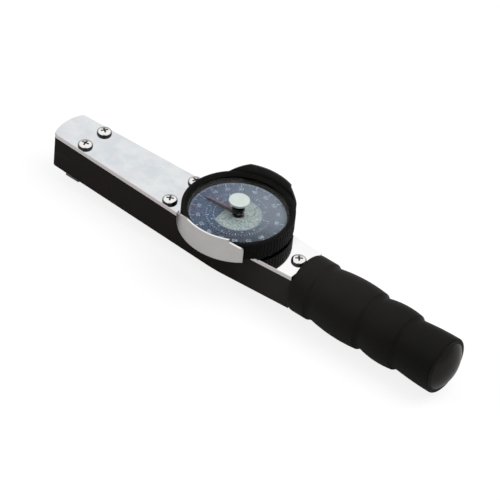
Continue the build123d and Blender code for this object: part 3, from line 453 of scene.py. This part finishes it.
# %% Turned brass and ground steel
def turned_brass():
    """Brass turned on a lathe: rings about the dial's axis in the roughness and a fine relief."""
    finish = Finish("turned_brass", Metallic=1.0)
    clouds = finish.noise(200, 4.0)
    distance = finish.radius(tuple(dial_centre))
    rings = distance.math("SINE", distance * 900 * math.tau)
    finish.colour(finish.blend(clouds, (0.50, 0.36, 0.14), (0.72, 0.55, 0.26)))
    finish.roughness(0.24 + rings * 0.04 + clouds * 0.1)
    finish.bump(rings * 0.5 + 0.5, 0.006 * MM)
    return finish.material


def ground_steel(name, dark, light, shine, along=(0.05, 1, 1)):
    """Steel ground flat: streaks along one direction."""
    finish = Finish(name, Metallic=1.0)
    streaks = finish.noise(1600, 4.0, along)
    clouds = finish.noise(110, 4.0)
    finish.colour(finish.blend(clouds * 0.6 + streaks * 0.4, dark, light))
    finish.roughness(shine + streaks * 0.12)
    finish.bump(streaks, 0.006 * MM)
    return finish.material


# %% [markdown]
# The bushes are pressed from bronze powder and hold oil in their pores, so their noise is cut hard into
# dark pits. The springs are blued: the temper leaves straw and blue, which drift along the metal. The
# dial's case is a light casting with a grained skin.

# %% Bronze, spring steel and casting
def sintered_bronze():
    """Pressed bronze, full of tiny pores."""
    finish = Finish("sintered_bronze", Metallic=1.0)
    pores = finish.noise(3800, 4.0).step(0.35, 0.5)
    finish.colour(finish.blend(pores, (0.12, 0.075, 0.035), (0.46, 0.31, 0.15)))
    finish.roughness(0.6 - pores * 0.2)
    finish.bump(pores, 0.02 * MM)
    return finish.material


def blued_spring():
    """Spring steel with the blue and straw colours that heat leaves."""
    finish = Finish("blued_spring", Metallic=1.0)
    heat = finish.noise(70, 3.0, (0.4, 1, 1))
    blue = finish.blend(heat.step(0.3, 0.6), (0.09, 0.11, 0.20), (0.16, 0.15, 0.22))
    finish.colour(finish.blend(heat.step(0.6, 0.8), blue, (0.33, 0.25, 0.16)))
    finish.roughness(0.3 + heat * 0.12)
    return finish.material


def cast_metal():
    """Light alloy casting with a grained skin."""
    finish = Finish("cast_metal", Metallic=1.0)
    grain = finish.noise(1100, 5.0)
    clouds = finish.noise(90, 3.0)
    finish.colour(finish.blend(clouds, (0.36, 0.36, 0.37), (0.50, 0.50, 0.51)))
    finish.roughness(0.48 + grain * 0.2)
    finish.bump(grain, 0.03 * MM)
    return finish.material


# %% [markdown]
# ## Dial finishes
# The face is printed metal: a deep blue that drifts towards violet, with a grain of navy, teal and mauve
# flecks. Light from the far side washes it paler there, and it is darkest on the near side, under the
# guard. Both are gradients along a direction across the dial.

# %% Enamel of the face
def dial_enamel():
    """Printed blue of the face with its flecks, pale on the far side and dark on the near one."""
    finish = Finish("dial_enamel", Specular_IOR_Level=0.2)
    drift = finish.noise(55, 3.0)
    flecks = finish.noise(900, 2.0)
    mottle = finish.noise(520, 3.0, (1, 0.8, 1))
    blue = finish.blend(drift.step(0.35, 0.7), (0.013, 0.026, 0.056), (0.028, 0.028, 0.064))
    teal = finish.blend(flecks.step(0.5, 0.72), blue, (0.03, 0.095, 0.115))
    mauve = finish.blend(mottle.step(0.5, 0.7) * 0.6, teal, (0.066, 0.052, 0.090))
    pale_side = finish.along((0.6, 0.8, 0), dial_centre).step(-0.7 * face_radius, face_radius)
    dark_side = finish.along((0.64, -0.77, 0), dial_centre).step(0, face_radius)
    paler = finish.blend(pale_side * 0.6, mauve, (0.125, 0.14, 0.15))
    dots = flecks.step(0.45, 0.28) * (0.2 + pale_side * 0.4)
    flecked = finish.blend(dots, paler, (0.10, 0.12, 0.15))
    finish.colour(finish.blend(dark_side, flecked, (0.003, 0.006, 0.012)))
    finish.roughness(0.42 + mottle * 0.12)
    return finish.material


# %% [markdown]
# Ink is never quite even. The label area is mottled, and the ticks and figures are worn. Both inks are
# duller than they seem, because the bright room adds its reflection to them.

# %% Inks of the label area and the scale
def pale_ink():
    """Pale grey-green ink of the label area."""
    finish = Finish("pale_ink", Specular_IOR_Level=0.3)
    mottle = finish.noise(1100, 2.0)
    tint = finish.noise(300, 2.0).step(0.4, 0.7)
    base = finish.blend(mottle.step(0.3, 0.68), (0.075, 0.092, 0.09), (0.23, 0.26, 0.245))
    finish.colour(finish.blend(tint * 0.5, base, (0.11, 0.16, 0.17)))
    finish.roughness(0.45 + mottle * 0.1)
    return finish.material


def scale_ink():
    """Light ink of the ticks and figures."""
    finish = Finish("scale_ink", Specular_IOR_Level=0.3)
    worn = finish.noise(900, 3.0)
    finish.colour(finish.blend(worn.step(0.35, 0.7), (0.15, 0.19, 0.23), (0.34, 0.38, 0.41)))
    finish.roughness(0.45 + worn * 0.1)
    return finish.material


# %% [markdown]
# The pointers are thin painted metal with a black boss, and the knob is satin metal turned on its face. A
# distance from the dial's axis tells boss from arm, and draws the rings that the lathe left on the knob.

# %% Pointers and knob
def pointer_paint(name, dark, light):
    """Thin paint on a pointer, whose boss is always black."""
    boss_edge, arm_start = 2.6 * MM, 3.2 * MM
    finish = Finish(name, Specular_IOR_Level=0.3)
    grain = finish.noise(1300, 3.0)
    arm = finish.radius(tuple(dial_centre)).step(boss_edge, arm_start)
    finish.colour(finish.blend(arm, (0.01, 0.01, 0.01), finish.blend(grain, dark, light)))
    finish.roughness(0.4 + grain * 0.15)
    return finish.material


def knob_metal():
    """Satin knob, turned on its face, pale with a hint of green."""
    finish = Finish("knob_metal", Metallic=0.55, Specular_IOR_Level=0.5)
    distance = finish.radius(tuple(dial_centre))
    rings = distance.math("SINE", distance * 1300 * math.tau)
    clouds = finish.noise(300, 4.0)
    finish.colour(finish.blend(clouds, (0.52, 0.60, 0.56), (0.66, 0.72, 0.70)))
    finish.roughness(0.34 + rings * 0.04 + clouds * 0.1)
    finish.bump(rings * 0.5 + clouds * 0.5, 0.01 * MM)
    return finish.material


# %% [markdown]
# The lens is real glass for the camera, with a low index because it is made not to glare. For shadow rays
# it is plainly transparent, because a pane of glass would leave everything under it dark.

# %% Clear lens
def clear_lens():
    """Clear anti-glare lens that lets lamp light through, with a trace of handling haze."""
    finish = Finish("clear_lens", Transmission_Weight=1.0, IOR=1.18)
    finish.shader.inputs["Base Color"].default_value = (0.97, 0.985, 0.99, 1)
    haze = finish.noise(80, 4.0)
    finish.roughness(haze.step(0.55, 0.9) * 0.012)
    tree = finish.tree
    through = tree.nodes.new("ShaderNodeBsdfTransparent")
    path = finish.node("ShaderNodeLightPath", {}, {}, "Is Shadow Ray")
    mix = finish.node("ShaderNodeMixShader", {}, {0: path})
    tree.links.new(finish.shader.outputs[0], mix.socket.node.inputs[1])
    tree.links.new(through.outputs[0], mix.socket.node.inputs[2])
    tree.links.new(mix.socket, tree.nodes["Material Output"].inputs["Surface"])
    return finish.material


# %% [markdown]
# ## Finishes onto the frame
# The record names a finish slot for each piece. One table ties each slot to its material, so that every
# piece of the frame, inside ones too, gets its finish in one loop.

# %% Finishes onto the frame
steel_dark, steel_light = (0.36, 0.36, 0.37), (0.52, 0.52, 0.53)
drive_dark, drive_light = (0.42, 0.42, 0.43), (0.58, 0.58, 0.59)
finishes = {
    "black_paint": black_enamel(),
    "bright_plate": bright_plate(),
    "chrome_guard": guard_plating(),
    "screw_chrome": screw_plating(),
    "steel": ground_steel("ground_steel", steel_dark, steel_light, 0.28),
    "drive_steel": ground_steel("drive_steel", drive_dark, drive_light, 0.26, (1, 1, 0.05)),
    "spring_steel": blued_spring(),
    "bronze": sintered_bronze(),
    "brass": turned_brass(),
    "case_metal": cast_metal(),
    "bezel_black": bezel_moulding(),
    "lens_clear": clear_lens(),
    "dial_blue": dial_enamel(),
    "pointer_black": pointer_paint("pointer_black", (0.012, 0.012, 0.014), (0.03, 0.03, 0.034)),
    "pointer_red": pointer_paint("pointer_red", (0.085, 0.040, 0.062), (0.13, 0.065, 0.095)),
    "knob_silver": knob_metal(),
    "black_moulding": glossy_moulding(),
    "gasket_black": black_gasket(),
    "grip_rubber": grip_rubber(),
}
for subpart in frame["record"]["subparts"]:
    piece = nodes[subpart["node"]]
    for slot in piece.material_slots:
        slot.material = finishes[subpart["material_slot"]]
    if not piece.material_slots:
        piece.data.materials.append(finishes[subpart["material_slot"]])

# %% [markdown]
# ## Working by hand in code
# Blender's modelling operators act on what is selected, as the mouse and keys would leave it. These
# helpers clear the selection, make one piece active, and put its place into its mesh, so that a pattern
# on it never slides.

# %% Selecting and settling a piece
def only(piece):
    """Deselect everything, then select this piece and make it active."""
    bpy.ops.object.select_all(action="DESELECT")
    piece.select_set(True)
    bpy.context.view_layer.objects.active = piece


def settle(piece):
    """Put the piece's place and turn into its mesh, so that its object sits at the origin."""
    only(piece)
    bpy.ops.object.transform_apply(location=True, rotation=True, scale=True)


def smooth(piece, angle=math.radians(35)):
    """Smooth shading that keeps edges sharper than an angle."""
    only(piece)
    bpy.ops.object.shade_smooth_by_angle(angle=angle)


# %% [markdown]
# A new piece gets a finish and the body that it moves with, and the frame's nodes that it stands for are
# hidden. A copy of a node starts as loose triangles, so its corners are joined first. Marks on faces tell
# a finish where one surface ends and the next begins.

# %% Fitting out, copying and marking
def fit_out(piece, body, slot, *replaced, material=None):
    """Give a new piece its finish and the body that it moves with, and hide the nodes that it stands for.
    """
    piece.data.materials.clear()
    piece.data.materials.append(material or finishes[slot])
    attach(piece, body)
    if replaced:
        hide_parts(*replaced)
    print(piece.name, "faces:", len(piece.data.polygons))


def copy_of(node, name):
    """Copy of a frame node with its loose triangles joined at their shared corners."""
    piece = bpy.data.objects.new(name, nodes[node].data.copy())
    bpy.context.scene.collection.objects.link(piece)
    only(piece)
    bpy.ops.object.mode_set(mode="EDIT")
    bpy.ops.mesh.select_all(action="SELECT")
    bpy.ops.mesh.remove_doubles(threshold=0.002 * MM)
    bpy.ops.mesh.customdata_custom_splitnormals_clear()
    bpy.ops.object.mode_set(mode="OBJECT")
    return piece


def apply_modifier(piece, kind, **settings):
    """Add one modifier, set it and apply it."""
    only(piece)
    modifier = piece.modifiers.new(kind.lower(), kind)
    for name, value in settings.items():
        setattr(modifier, name, value)
    bpy.ops.object.modifier_apply(modifier=modifier.name)


def mark(piece, name, chosen):
    """Store 1 on the faces that the given test chooses and 0 on the others."""
    layer = piece.data.attributes.new(name, "FLOAT", "FACE")
    for face in piece.data.polygons:
        layer.data[face.index].value = 1.0 if chosen(face) else 0.0


# %% [markdown]
# ## Dial guard
# The guard is one pressing of sheet metal with two wings turned up. A real pressing has no sharp edge,
# and the bright line along the near wing's rim is that rounded edge, here with a painted highlight.
# The frame's own guard has the right form, so a copy of it gets a small bevel on its sharp edges. The
# upward rim of the near wing is marked for the painted highlight. The faces of both wings that look
# towards the dial, and on the far wing its edges too, are marked for painted shade and dark reflection.

# %% Dial guard
guard_foot = plate_top + 2 * MM
sheet_edge = 0.22 * MM
sharp_from = math.radians(40)


def outward(face):
    """How far a face looks away from the dial's axis, from -1 to 1."""
    return (face.center.xy - dial_centre.xy).normalized().dot(face.normal.xy)


# Faces that get painted shade and dark reflection.
def blackened(face):
    """True for a wing's inner face, and on the far wing for its edges too."""
    limit = 0.6 if face.center.y > 0 else -0.7
    return face.center.z > guard_foot and outward(face) < limit


# Faces that get a painted highlight.
def rubbed(face):
    """True for the upward rim of the near wing."""
    return face.center.z > guard_foot and face.center.y < 0 and face.normal.z > 0.8


guard = copy_of("dial_guard", "dial_guard_pressing")
bevel = {"width": sheet_edge, "segments": 2, "limit_method": "ANGLE", "angle_limit": sharp_from}
apply_modifier(guard, "BEVEL", **bevel)
# Marks for the painted highlight and for the painted shade and dark reflection.
mark(guard, "rim", rubbed)
mark(guard, "inside", blackened)
smooth(guard, sharp_from)
fit_out(guard, "housing", "chrome_guard", "dial_guard")

# %% [markdown]
# ## Cover screws
# Five pan-head screws hold the plate. From close by, such a head is a flat dome that rolls over to a
# short upright side, with a cross recess whose arms narrow towards the bottom. A cylinder with a wide
# bevel gives the dome and its roll with fewer steps than a turned profile. In edit mode, its faces and
# edges are picked by their place or the way they look.

# %% Picking faces and edges
def pick_faces(chosen):
    """In edit mode, select only the faces that the test chooses."""
    mesh = bmesh.from_edit_mesh(bpy.context.object.data)
    bpy.ops.mesh.select_all(action="DESELECT")
    bpy.ops.mesh.select_mode(type="FACE")
    for face in mesh.faces:
        face.select_set(chosen(face))
    bmesh.update_edit_mesh(bpy.context.object.data)


def pick_edges(chosen):
    """In edit mode, select only the edges that the test chooses."""
    mesh = bmesh.from_edit_mesh(bpy.context.object.data)
    bpy.ops.mesh.select_all(action="DESELECT")
    bpy.ops.mesh.select_mode(type="EDGE")
    for edge in mesh.edges:
        edge.select_set(chosen(edge))
    bmesh.update_edit_mesh(bpy.context.object.data)


# %% [markdown]
# The blank is a cylinder whose upper edge is rolled over by a wide bevel, and whose top rises in two
# shallow insets. Its underside is inset to the shank's width and drawn down, so that head and shank are
# one closed mesh.

# %% Screw blank
screw_low, screw_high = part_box("cover_screws")
head_radius = 4.0 * MM
shank_radius = 1.5 * MM
crown_steps = ((0.9 * MM, 0.13 * MM), (0.9 * MM, 0.07 * MM))
crown = 0.2 * MM
rolled_edge = 1.3 * MM
head_top = screw_high.z
facing_squarely = 0.9


def screw_blank():
    """Pan head on its shank, standing on the plate at the tool's origin."""
    side = head_top - crown - plate_top
    middle = (0, 0, plate_top + side / 2)
    bpy.ops.mesh.primitive_cylinder_add(vertices=64, radius=head_radius, depth=side, location=middle)
    blank = bpy.context.object
    settle(blank)
    bpy.ops.object.mode_set(mode="EDIT")
    near_top = plate_top + side - 0.01 * MM
    pick_edges(lambda edge: min(vertex.co.z for vertex in edge.verts) > near_top)
    bpy.ops.mesh.bevel(offset=rolled_edge, segments=8, profile=0.5, affect="EDGES")
    pick_faces(lambda face: len(face.verts) > 4 and face.normal.z > facing_squarely)
    for inset, rise in crown_steps:
        bpy.ops.mesh.inset(thickness=inset, depth=rise)
    pick_faces(lambda face: len(face.verts) > 4 and face.normal.z < -facing_squarely)
    bpy.ops.mesh.inset(thickness=head_radius - shank_radius, depth=0)
    down = (0, 0, screw_low.z - plate_top)
    bpy.ops.mesh.extrude_region_move(TRANSFORM_OT_translate={"value": down})
    bpy.ops.object.mode_set(mode="OBJECT")
    return blank


# %% [markdown]
# The cross is cut by a boolean with two bars that narrow towards their foot, as the driver's tip does.
# The faces that the cut leaves are marked for painted shade, and the upright side for its dull plating
# with a painted dark reflection.

# %% Cross recess
bar_length, bar_width, bar_depth = 4.7 * MM, 1.05 * MM, 1.5 * MM
bar_foot = (0.3, 0.55, 1)
bar_above_head = 0.2 * MM
recess_reach = 2.4 * MM
recess_lip = 0.3 * MM
side_start = 3.0 * MM
side_slope = 0.55


def recess_arm(turn):
    """Cutter for one bar of the cross recess, which narrows towards its foot."""
    top = head_top + bar_above_head
    bpy.ops.mesh.primitive_cube_add(size=1, location=(0, 0, top - bar_depth / 2))
    arm = bpy.context.object
    arm.scale = (bar_length, bar_width, bar_depth)
    settle(arm)
    bpy.ops.object.mode_set(mode="EDIT")
    pick_faces(lambda face: face.normal.z < -facing_squarely)
    bpy.ops.transform.resize(value=bar_foot)
    bpy.ops.object.mode_set(mode="OBJECT")
    arm.rotation_euler.z = turn
    settle(arm)
    return arm


def in_recess(face):
    """True for the walls and floor of the cross recess."""
    within = face.center.xy.length < recess_reach
    return within and plate_top < face.center.z < head_top - recess_lip


def on_side(face):
    """True for the upright side of the head and the steep part of its rolled edge."""
    return face.center.xy.length > side_start and face.normal.z < side_slope


head = screw_blank()
for turn in (0, math.pi / 2):
    arm = recess_arm(turn)
    apply_modifier(head, "BOOLEAN", operation="DIFFERENCE", object=arm, solver="EXACT")
    bpy.data.objects.remove(arm)
mark(head, "recess", in_recess)
mark(head, "side", on_side)
smooth(head)
print("screw head faces:", len(head.data.polygons))

# %% [markdown]
# Nobody lines up the crosses of five screws, so each copy is turned by its own angle. The places come
# from the frame: its node of five screws is separated into loose parts, and the middle of each part is a
# screw's axis.

# %% Cover screws in place
def loose_middles(node):
    """Middle of each separate solid in a node, from the nose to the rear."""
    copy_of(node, "loose")
    bpy.ops.mesh.separate(type="LOOSE")
    middles = []
    for part in list(bpy.context.selected_objects):
        corners = [vertex.co for vertex in part.data.vertices]
        low = Vector(min(corner[axis] for corner in corners) for axis in range(3))
        high = Vector(max(corner[axis] for corner in corners) for axis in range(3))
        middles.append((low + high) / 2)
        bpy.data.objects.remove(part)
    return sorted(middles, key=lambda middle: (round(middle.x, 4), middle.y))


screw_turns = [math.radians(angle) for angle in (12, 55, 31, 74, 40)]
for number, (middle, turn) in enumerate(zip(loose_middles("cover_screws"), screw_turns), 1):
    screw = bpy.data.objects.new(f"cover_screw_{number}", head.data.copy())
    bpy.context.scene.collection.objects.link(screw)
    screw.location = (middle.x, middle.y, 0)
    screw.rotation_euler.z = turn
    settle(screw)
    fit_out(screw, "housing", "screw_chrome", "cover_screws")
bpy.data.objects.remove(head)

# %% [markdown]
# ## Springs that give
# Inside the channel, the beam that the drive turns against is held by two pins at its far end, so it
# bends instead of turning whole. A copy of the frame's beam is cut across into short lengths, because a
# straight bar with corners only at its ends can't bend. It takes the spring steel finish, and its place
# is put into its mesh.

# %% Spring beam
beam_low, beam_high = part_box("spring_beam")
beam_lengths = 28
beam = copy_of("spring_beam", "spring_beam_leaf")
bpy.ops.object.mode_set(mode="EDIT")
for cut in range(1, beam_lengths):
    bpy.ops.mesh.select_all(action="SELECT")
    place_of_cut = beam_low.lerp(beam_high, cut / beam_lengths)
    bpy.ops.mesh.bisect(plane_co=place_of_cut, plane_no=(1, 0, 0))
bpy.ops.object.mode_set(mode="OBJECT")
smooth(beam)
beam.data.materials.clear()
beam.data.materials.append(finishes["spring_steel"])
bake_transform(beam)
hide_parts("spring_beam")
print("beam faces:", len(beam.data.polygons))

# %% [markdown]
# The little spring behind the ball of the drive square gets shorter when the ball sinks in. Here it is a
# copy that moves with the drive, and has a mesh of its own.

# %% Ball spring
coil = copy_of("detent_spring", "detent_spring_coil")
smooth(coil)
fit_out(coil, "drive", "spring_steel", "detent_spring")
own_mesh(coil)

# %% [markdown]
# ## Printing on the dial
# The face carries a ring of ticks, plain figures, a thin ring and a pale area under the knob. Ink has
# almost no thickness, but as geometry it stays sharp at any distance. One tick is drawn as a thin plane
# and spun round the dial's axis in copies, and each print gets a hair of thickness so that it is a closed
# shape.

# %% Ticks
ink_clearance = 0.005 * MM
ink_thickness = 0.04 * MM
ink_base = face_high.z + ink_clearance
dial_axis = Vector((dial_centre.x, dial_centre.y, ink_base))
to_axis = Matrix.Translation(dial_axis)
dial_turn = math.radians(4.9)
zero_direction = math.pi + dial_turn
scale_half_turn = math.radians(160)
inks = {"scale": scale_ink(), "label": pale_ink()}


def turn_about_axis(flat, angle):
    """Turn a flat print about the dial's axis, in its mesh."""
    flat.data.transform(to_axis @ Matrix.Rotation(angle, 4, "Z") @ to_axis.inverted())


def ticks(inner, outer, width, steps):
    """Row of ticks from one end of the scale to the other, between two radii in millimetres."""
    middle = (inner + outer) / 2 * MM
    bpy.ops.mesh.primitive_plane_add(size=1, location=dial_axis + Vector((middle, 0, 0)))
    row = bpy.context.object
    row.scale = ((outer - inner) * MM, width * MM, 1)
    settle(row)
    bpy.ops.object.mode_set(mode="EDIT")
    bpy.ops.mesh.select_all(action="SELECT")
    scale_turn = 2 * scale_half_turn
    bpy.ops.mesh.spin(steps=steps, dupli=True, angle=scale_turn, center=dial_axis, axis=(0, 0, 1))
    bpy.ops.object.mode_set(mode="OBJECT")
    turn_about_axis(row, zero_direction - scale_half_turn)
    return row


def print_on_face(parts, name, ink):
    """Join flat prints into one piece, give them their thickness and put them on the turning face."""
    only(parts[0])
    for part in parts[1:]:
        part.select_set(True)
    if len(parts) > 1:
        bpy.ops.object.join()
    print_piece = bpy.context.object
    print_piece.name = name
    apply_modifier(print_piece, "SOLIDIFY", thickness=ink_thickness, offset=1)
    fit_out(print_piece, "bezel", "dial_blue", material=inks[ink])
    return print_piece


rows = [
    ticks(inner=22.3, outer=25.2, width=0.42, steps=16),
    ticks(inner=23.3, outer=25.2, width=0.28, steps=32),
    ticks(inner=24.1, outer=25.2, width=0.18, steps=160),
    ticks(inner=15.0, outer=16.6, width=0.34, steps=12),
    ticks(inner=15.8, outer=16.6, width=0.2, steps=60),
]
print_on_face(rows, "dial_ticks", "scale")

# %% [markdown]
# Plain figures stand at every second large tick, zero towards the nose and the same figures both ways, as
# on a tool that measures in either direction. Each figure is a text object, turned into a mesh before it
# takes its place.

# %% Figures
def figure(words, angle, radius, height):
    """Flat figure with its top outwards, at an angle from the zero, with its sizes in millimetres."""
    bpy.ops.object.select_all(action="DESELECT")
    bpy.ops.object.text_add(location=(0, 0, 0))
    text = bpy.context.object
    text.data.body = words
    text.data.size = height * MM
    text.data.align_x = "CENTER"
    text.data.align_y = "CENTER"
    bpy.ops.object.convert(target="MESH")
    flat = bpy.context.object
    direction = zero_direction + angle
    middle = dial_axis + Vector((math.cos(direction), math.sin(direction), 0)) * radius * MM
    upright = Matrix.Rotation(direction - math.pi / 2, 4, "Z")
    flat.data.transform(Matrix.Translation(middle) @ upright)
    return flat


outer_steps = 8
inner_steps = 6
figures = []
for step in range(-outer_steps, outer_steps + 1):
    angle = scale_half_turn * step / outer_steps
    figures.append(figure(str(10 * abs(step)), angle, radius=20.4, height=2.9))
for step in range(-inner_steps, inner_steps + 1):
    angle = scale_half_turn * step / inner_steps
    figures.append(figure(str(abs(step)), angle, radius=13.9, height=1.7))
print_on_face(figures, "dial_figures", "scale")

# %% [markdown]
# A thin ring parts the scale from the middle. The pale area is a wide ring about the stem, cut off
# straight on the side of the zero. Both start as a disc whose middle is inset and deleted.

# %% Ring and pale area
def flat_ring(inner, outer):
    """Flat ring about the dial's axis, between two radii in millimetres."""
    rim = outer * MM
    bpy.ops.mesh.primitive_circle_add(vertices=128, radius=rim, fill_type="NGON", location=dial_axis)
    ring = bpy.context.object
    settle(ring)
    bpy.ops.object.mode_set(mode="EDIT")
    bpy.ops.mesh.select_mode(type="FACE")
    bpy.ops.mesh.select_all(action="SELECT")
    bpy.ops.mesh.inset(thickness=(outer - inner) * MM, depth=0)
    bpy.ops.mesh.delete(type="FACE")
    bpy.ops.object.mode_set(mode="OBJECT")
    return ring


thin_ring = flat_ring(inner=12.45, outer=12.6)
pale_area = flat_ring(inner=2.9, outer=12.2)
chord = 7.2 * MM
only(pale_area)
bpy.ops.object.mode_set(mode="EDIT")
bpy.ops.mesh.select_all(action="SELECT")
cut_at = dial_axis - Vector((chord, 0, 0))
bpy.ops.mesh.bisect(plane_co=cut_at, plane_no=(1, 0, 0), clear_inner=True)
bpy.ops.object.mode_set(mode="OBJECT")
turn_about_axis(pale_area, zero_direction - math.pi)
print_on_face([thin_ring], "dial_ring", "scale")
print_on_face([pale_area], "dial_label_area", "label")

# %% [markdown]
# ## Floor, lamps and world
# The picture is a studio one: the tool on white, lit softly from above, with no hard shadow. The floor is
# pale paper that turns fully white for the camera at its brightest, and still keeps the tool's faint
# shadow. What the tool itself sees of the floor is dimmer, so that its sides stay as dark as they are.

# %% Floor
def floor_paper():
    """Pale studio paper, lifted towards white where the camera looks."""
    dimmed, camera_lift = 0.5, 0.33
    finish = Finish("floor_paper", Roughness=0.9, Specular_IOR_Level=0.0)
    grain = finish.noise(300, 3.0)
    finish.colour(finish.blend(grain, (0.86, 0.86, 0.86), (0.9, 0.9, 0.9)))
    tree = finish.tree
    seen = finish.node("ShaderNodeLightPath", {}, {}, "Is Camera Ray")
    glow = finish.node("ShaderNodeEmission", {}, {"Strength": seen})
    mix = finish.node("ShaderNodeMixShader", {}, {0: dimmed + seen * camera_lift})
    tree.links.new(finish.shader.outputs[0], mix.socket.node.inputs[1])
    tree.links.new(glow.socket, mix.socket.node.inputs[2])
    tree.links.new(mix.socket, tree.nodes["Material Output"].inputs["Surface"])
    return finish.material


bpy.ops.object.select_all(action="DESELECT")
bpy.ops.mesh.primitive_plane_add(size=8, location=(dial_centre.x, 0, cad_low.z))
floor = bpy.context.object
floor.name = "studio_floor"
floor.data.materials.append(floor_paper())
print("floor at mm:", round(cad_low.z / MM, 2))

# %% [markdown]
# Two large lamps light the tool from above, the stronger one from the far side. They are hidden from
# reflections, because a square of light in the cover plate would look like a window.

# %% Lamps
def soft_lamp(name, direction, distance, size, watts):
    """Square area lamp that looks at the dial from a direction."""
    data = bpy.data.lights.new(name, "AREA")
    data.shape = "SQUARE"
    data.size = size
    data.energy = watts
    lamp = bpy.data.objects.new(name, data)
    aimed = Vector(direction).normalized()
    lamp.location = dial_on_plate + aimed * distance
    lamp.rotation_euler = aimed.to_track_quat("Z", "Y").to_euler()
    lamp.visible_glossy = False
    bpy.context.scene.collection.objects.link(lamp)
    return lamp


key_lamp = soft_lamp("key_lamp", (0.5, 0.2, 1.0), distance=1.2, size=0.9, watts=12.0)
fill_lamp = soft_lamp("fill_lamp", (-0.6, -0.5, 0.9), distance=1.4, size=1.2, watts=7.0)
print("lamps in W:", key_lamp.data.energy, fill_lamp.data.energy)

# %% [markdown]
# Metal shows its surroundings, so the world that reflections see has what a studio has: white above, grey
# towards the horizon, and a dark doorway behind the camera that gives the bright pieces some depth. The
# camera itself sees plain white, and matt surfaces get an even light.

# %% World
world = bpy.data.worlds.new("studio")
bpy.context.scene.world = world
world.use_nodes = True


class Surroundings(Finish):
    """The same wiring, on the world's tree."""

    def __init__(self, world):
        self.tree = world.node_tree
        self.shader = self.tree.nodes["Background"]


horizon_level = 0.42
grey_up_to, white_from = math.radians(26), math.radians(36)
doorway = Vector((0.48, -0.57, 0.67)).normalized()
doorway_edge, doorway_core = math.radians(28), math.radians(14)
doorway_depth = 0.6
matt_level = 0.55

sky = Surroundings(world)
direction = sky.node("ShaderNodeTexCoord", {}, {}, "Generated")
height = sky.node("ShaderNodeSeparateXYZ", {}, {"Vector": direction}, "Z")
overhead = height.step(math.sin(grey_up_to), math.sin(white_from))
product = {"operation": "DOT_PRODUCT"}
towards_doorway = sky.node("ShaderNodeVectorMath", product, {0: direction, 1: doorway}, "Value")
unlit = towards_doorway.step(math.cos(doorway_edge), math.cos(doorway_core))
lit = sky.node("ShaderNodeLightPath", {}, {}, "Is Diffuse Ray")
seen = sky.node("ShaderNodeLightPath", {}, {}, "Is Camera Ray")
reflected = (horizon_level + overhead * (1 - horizon_level)) * (1 - unlit * doorway_depth)
strength = reflected * (1 - lit) * (1 - seen) + lit * matt_level + seen
sky.tree.links.new(strength.socket, sky.shader.inputs["Strength"])
sky.shader.inputs["Color"].default_value = (1, 1, 1, 1)

bpy.context.scene.view_settings.view_transform = "Standard"
print("view transform:", bpy.context.scene.view_settings.view_transform)
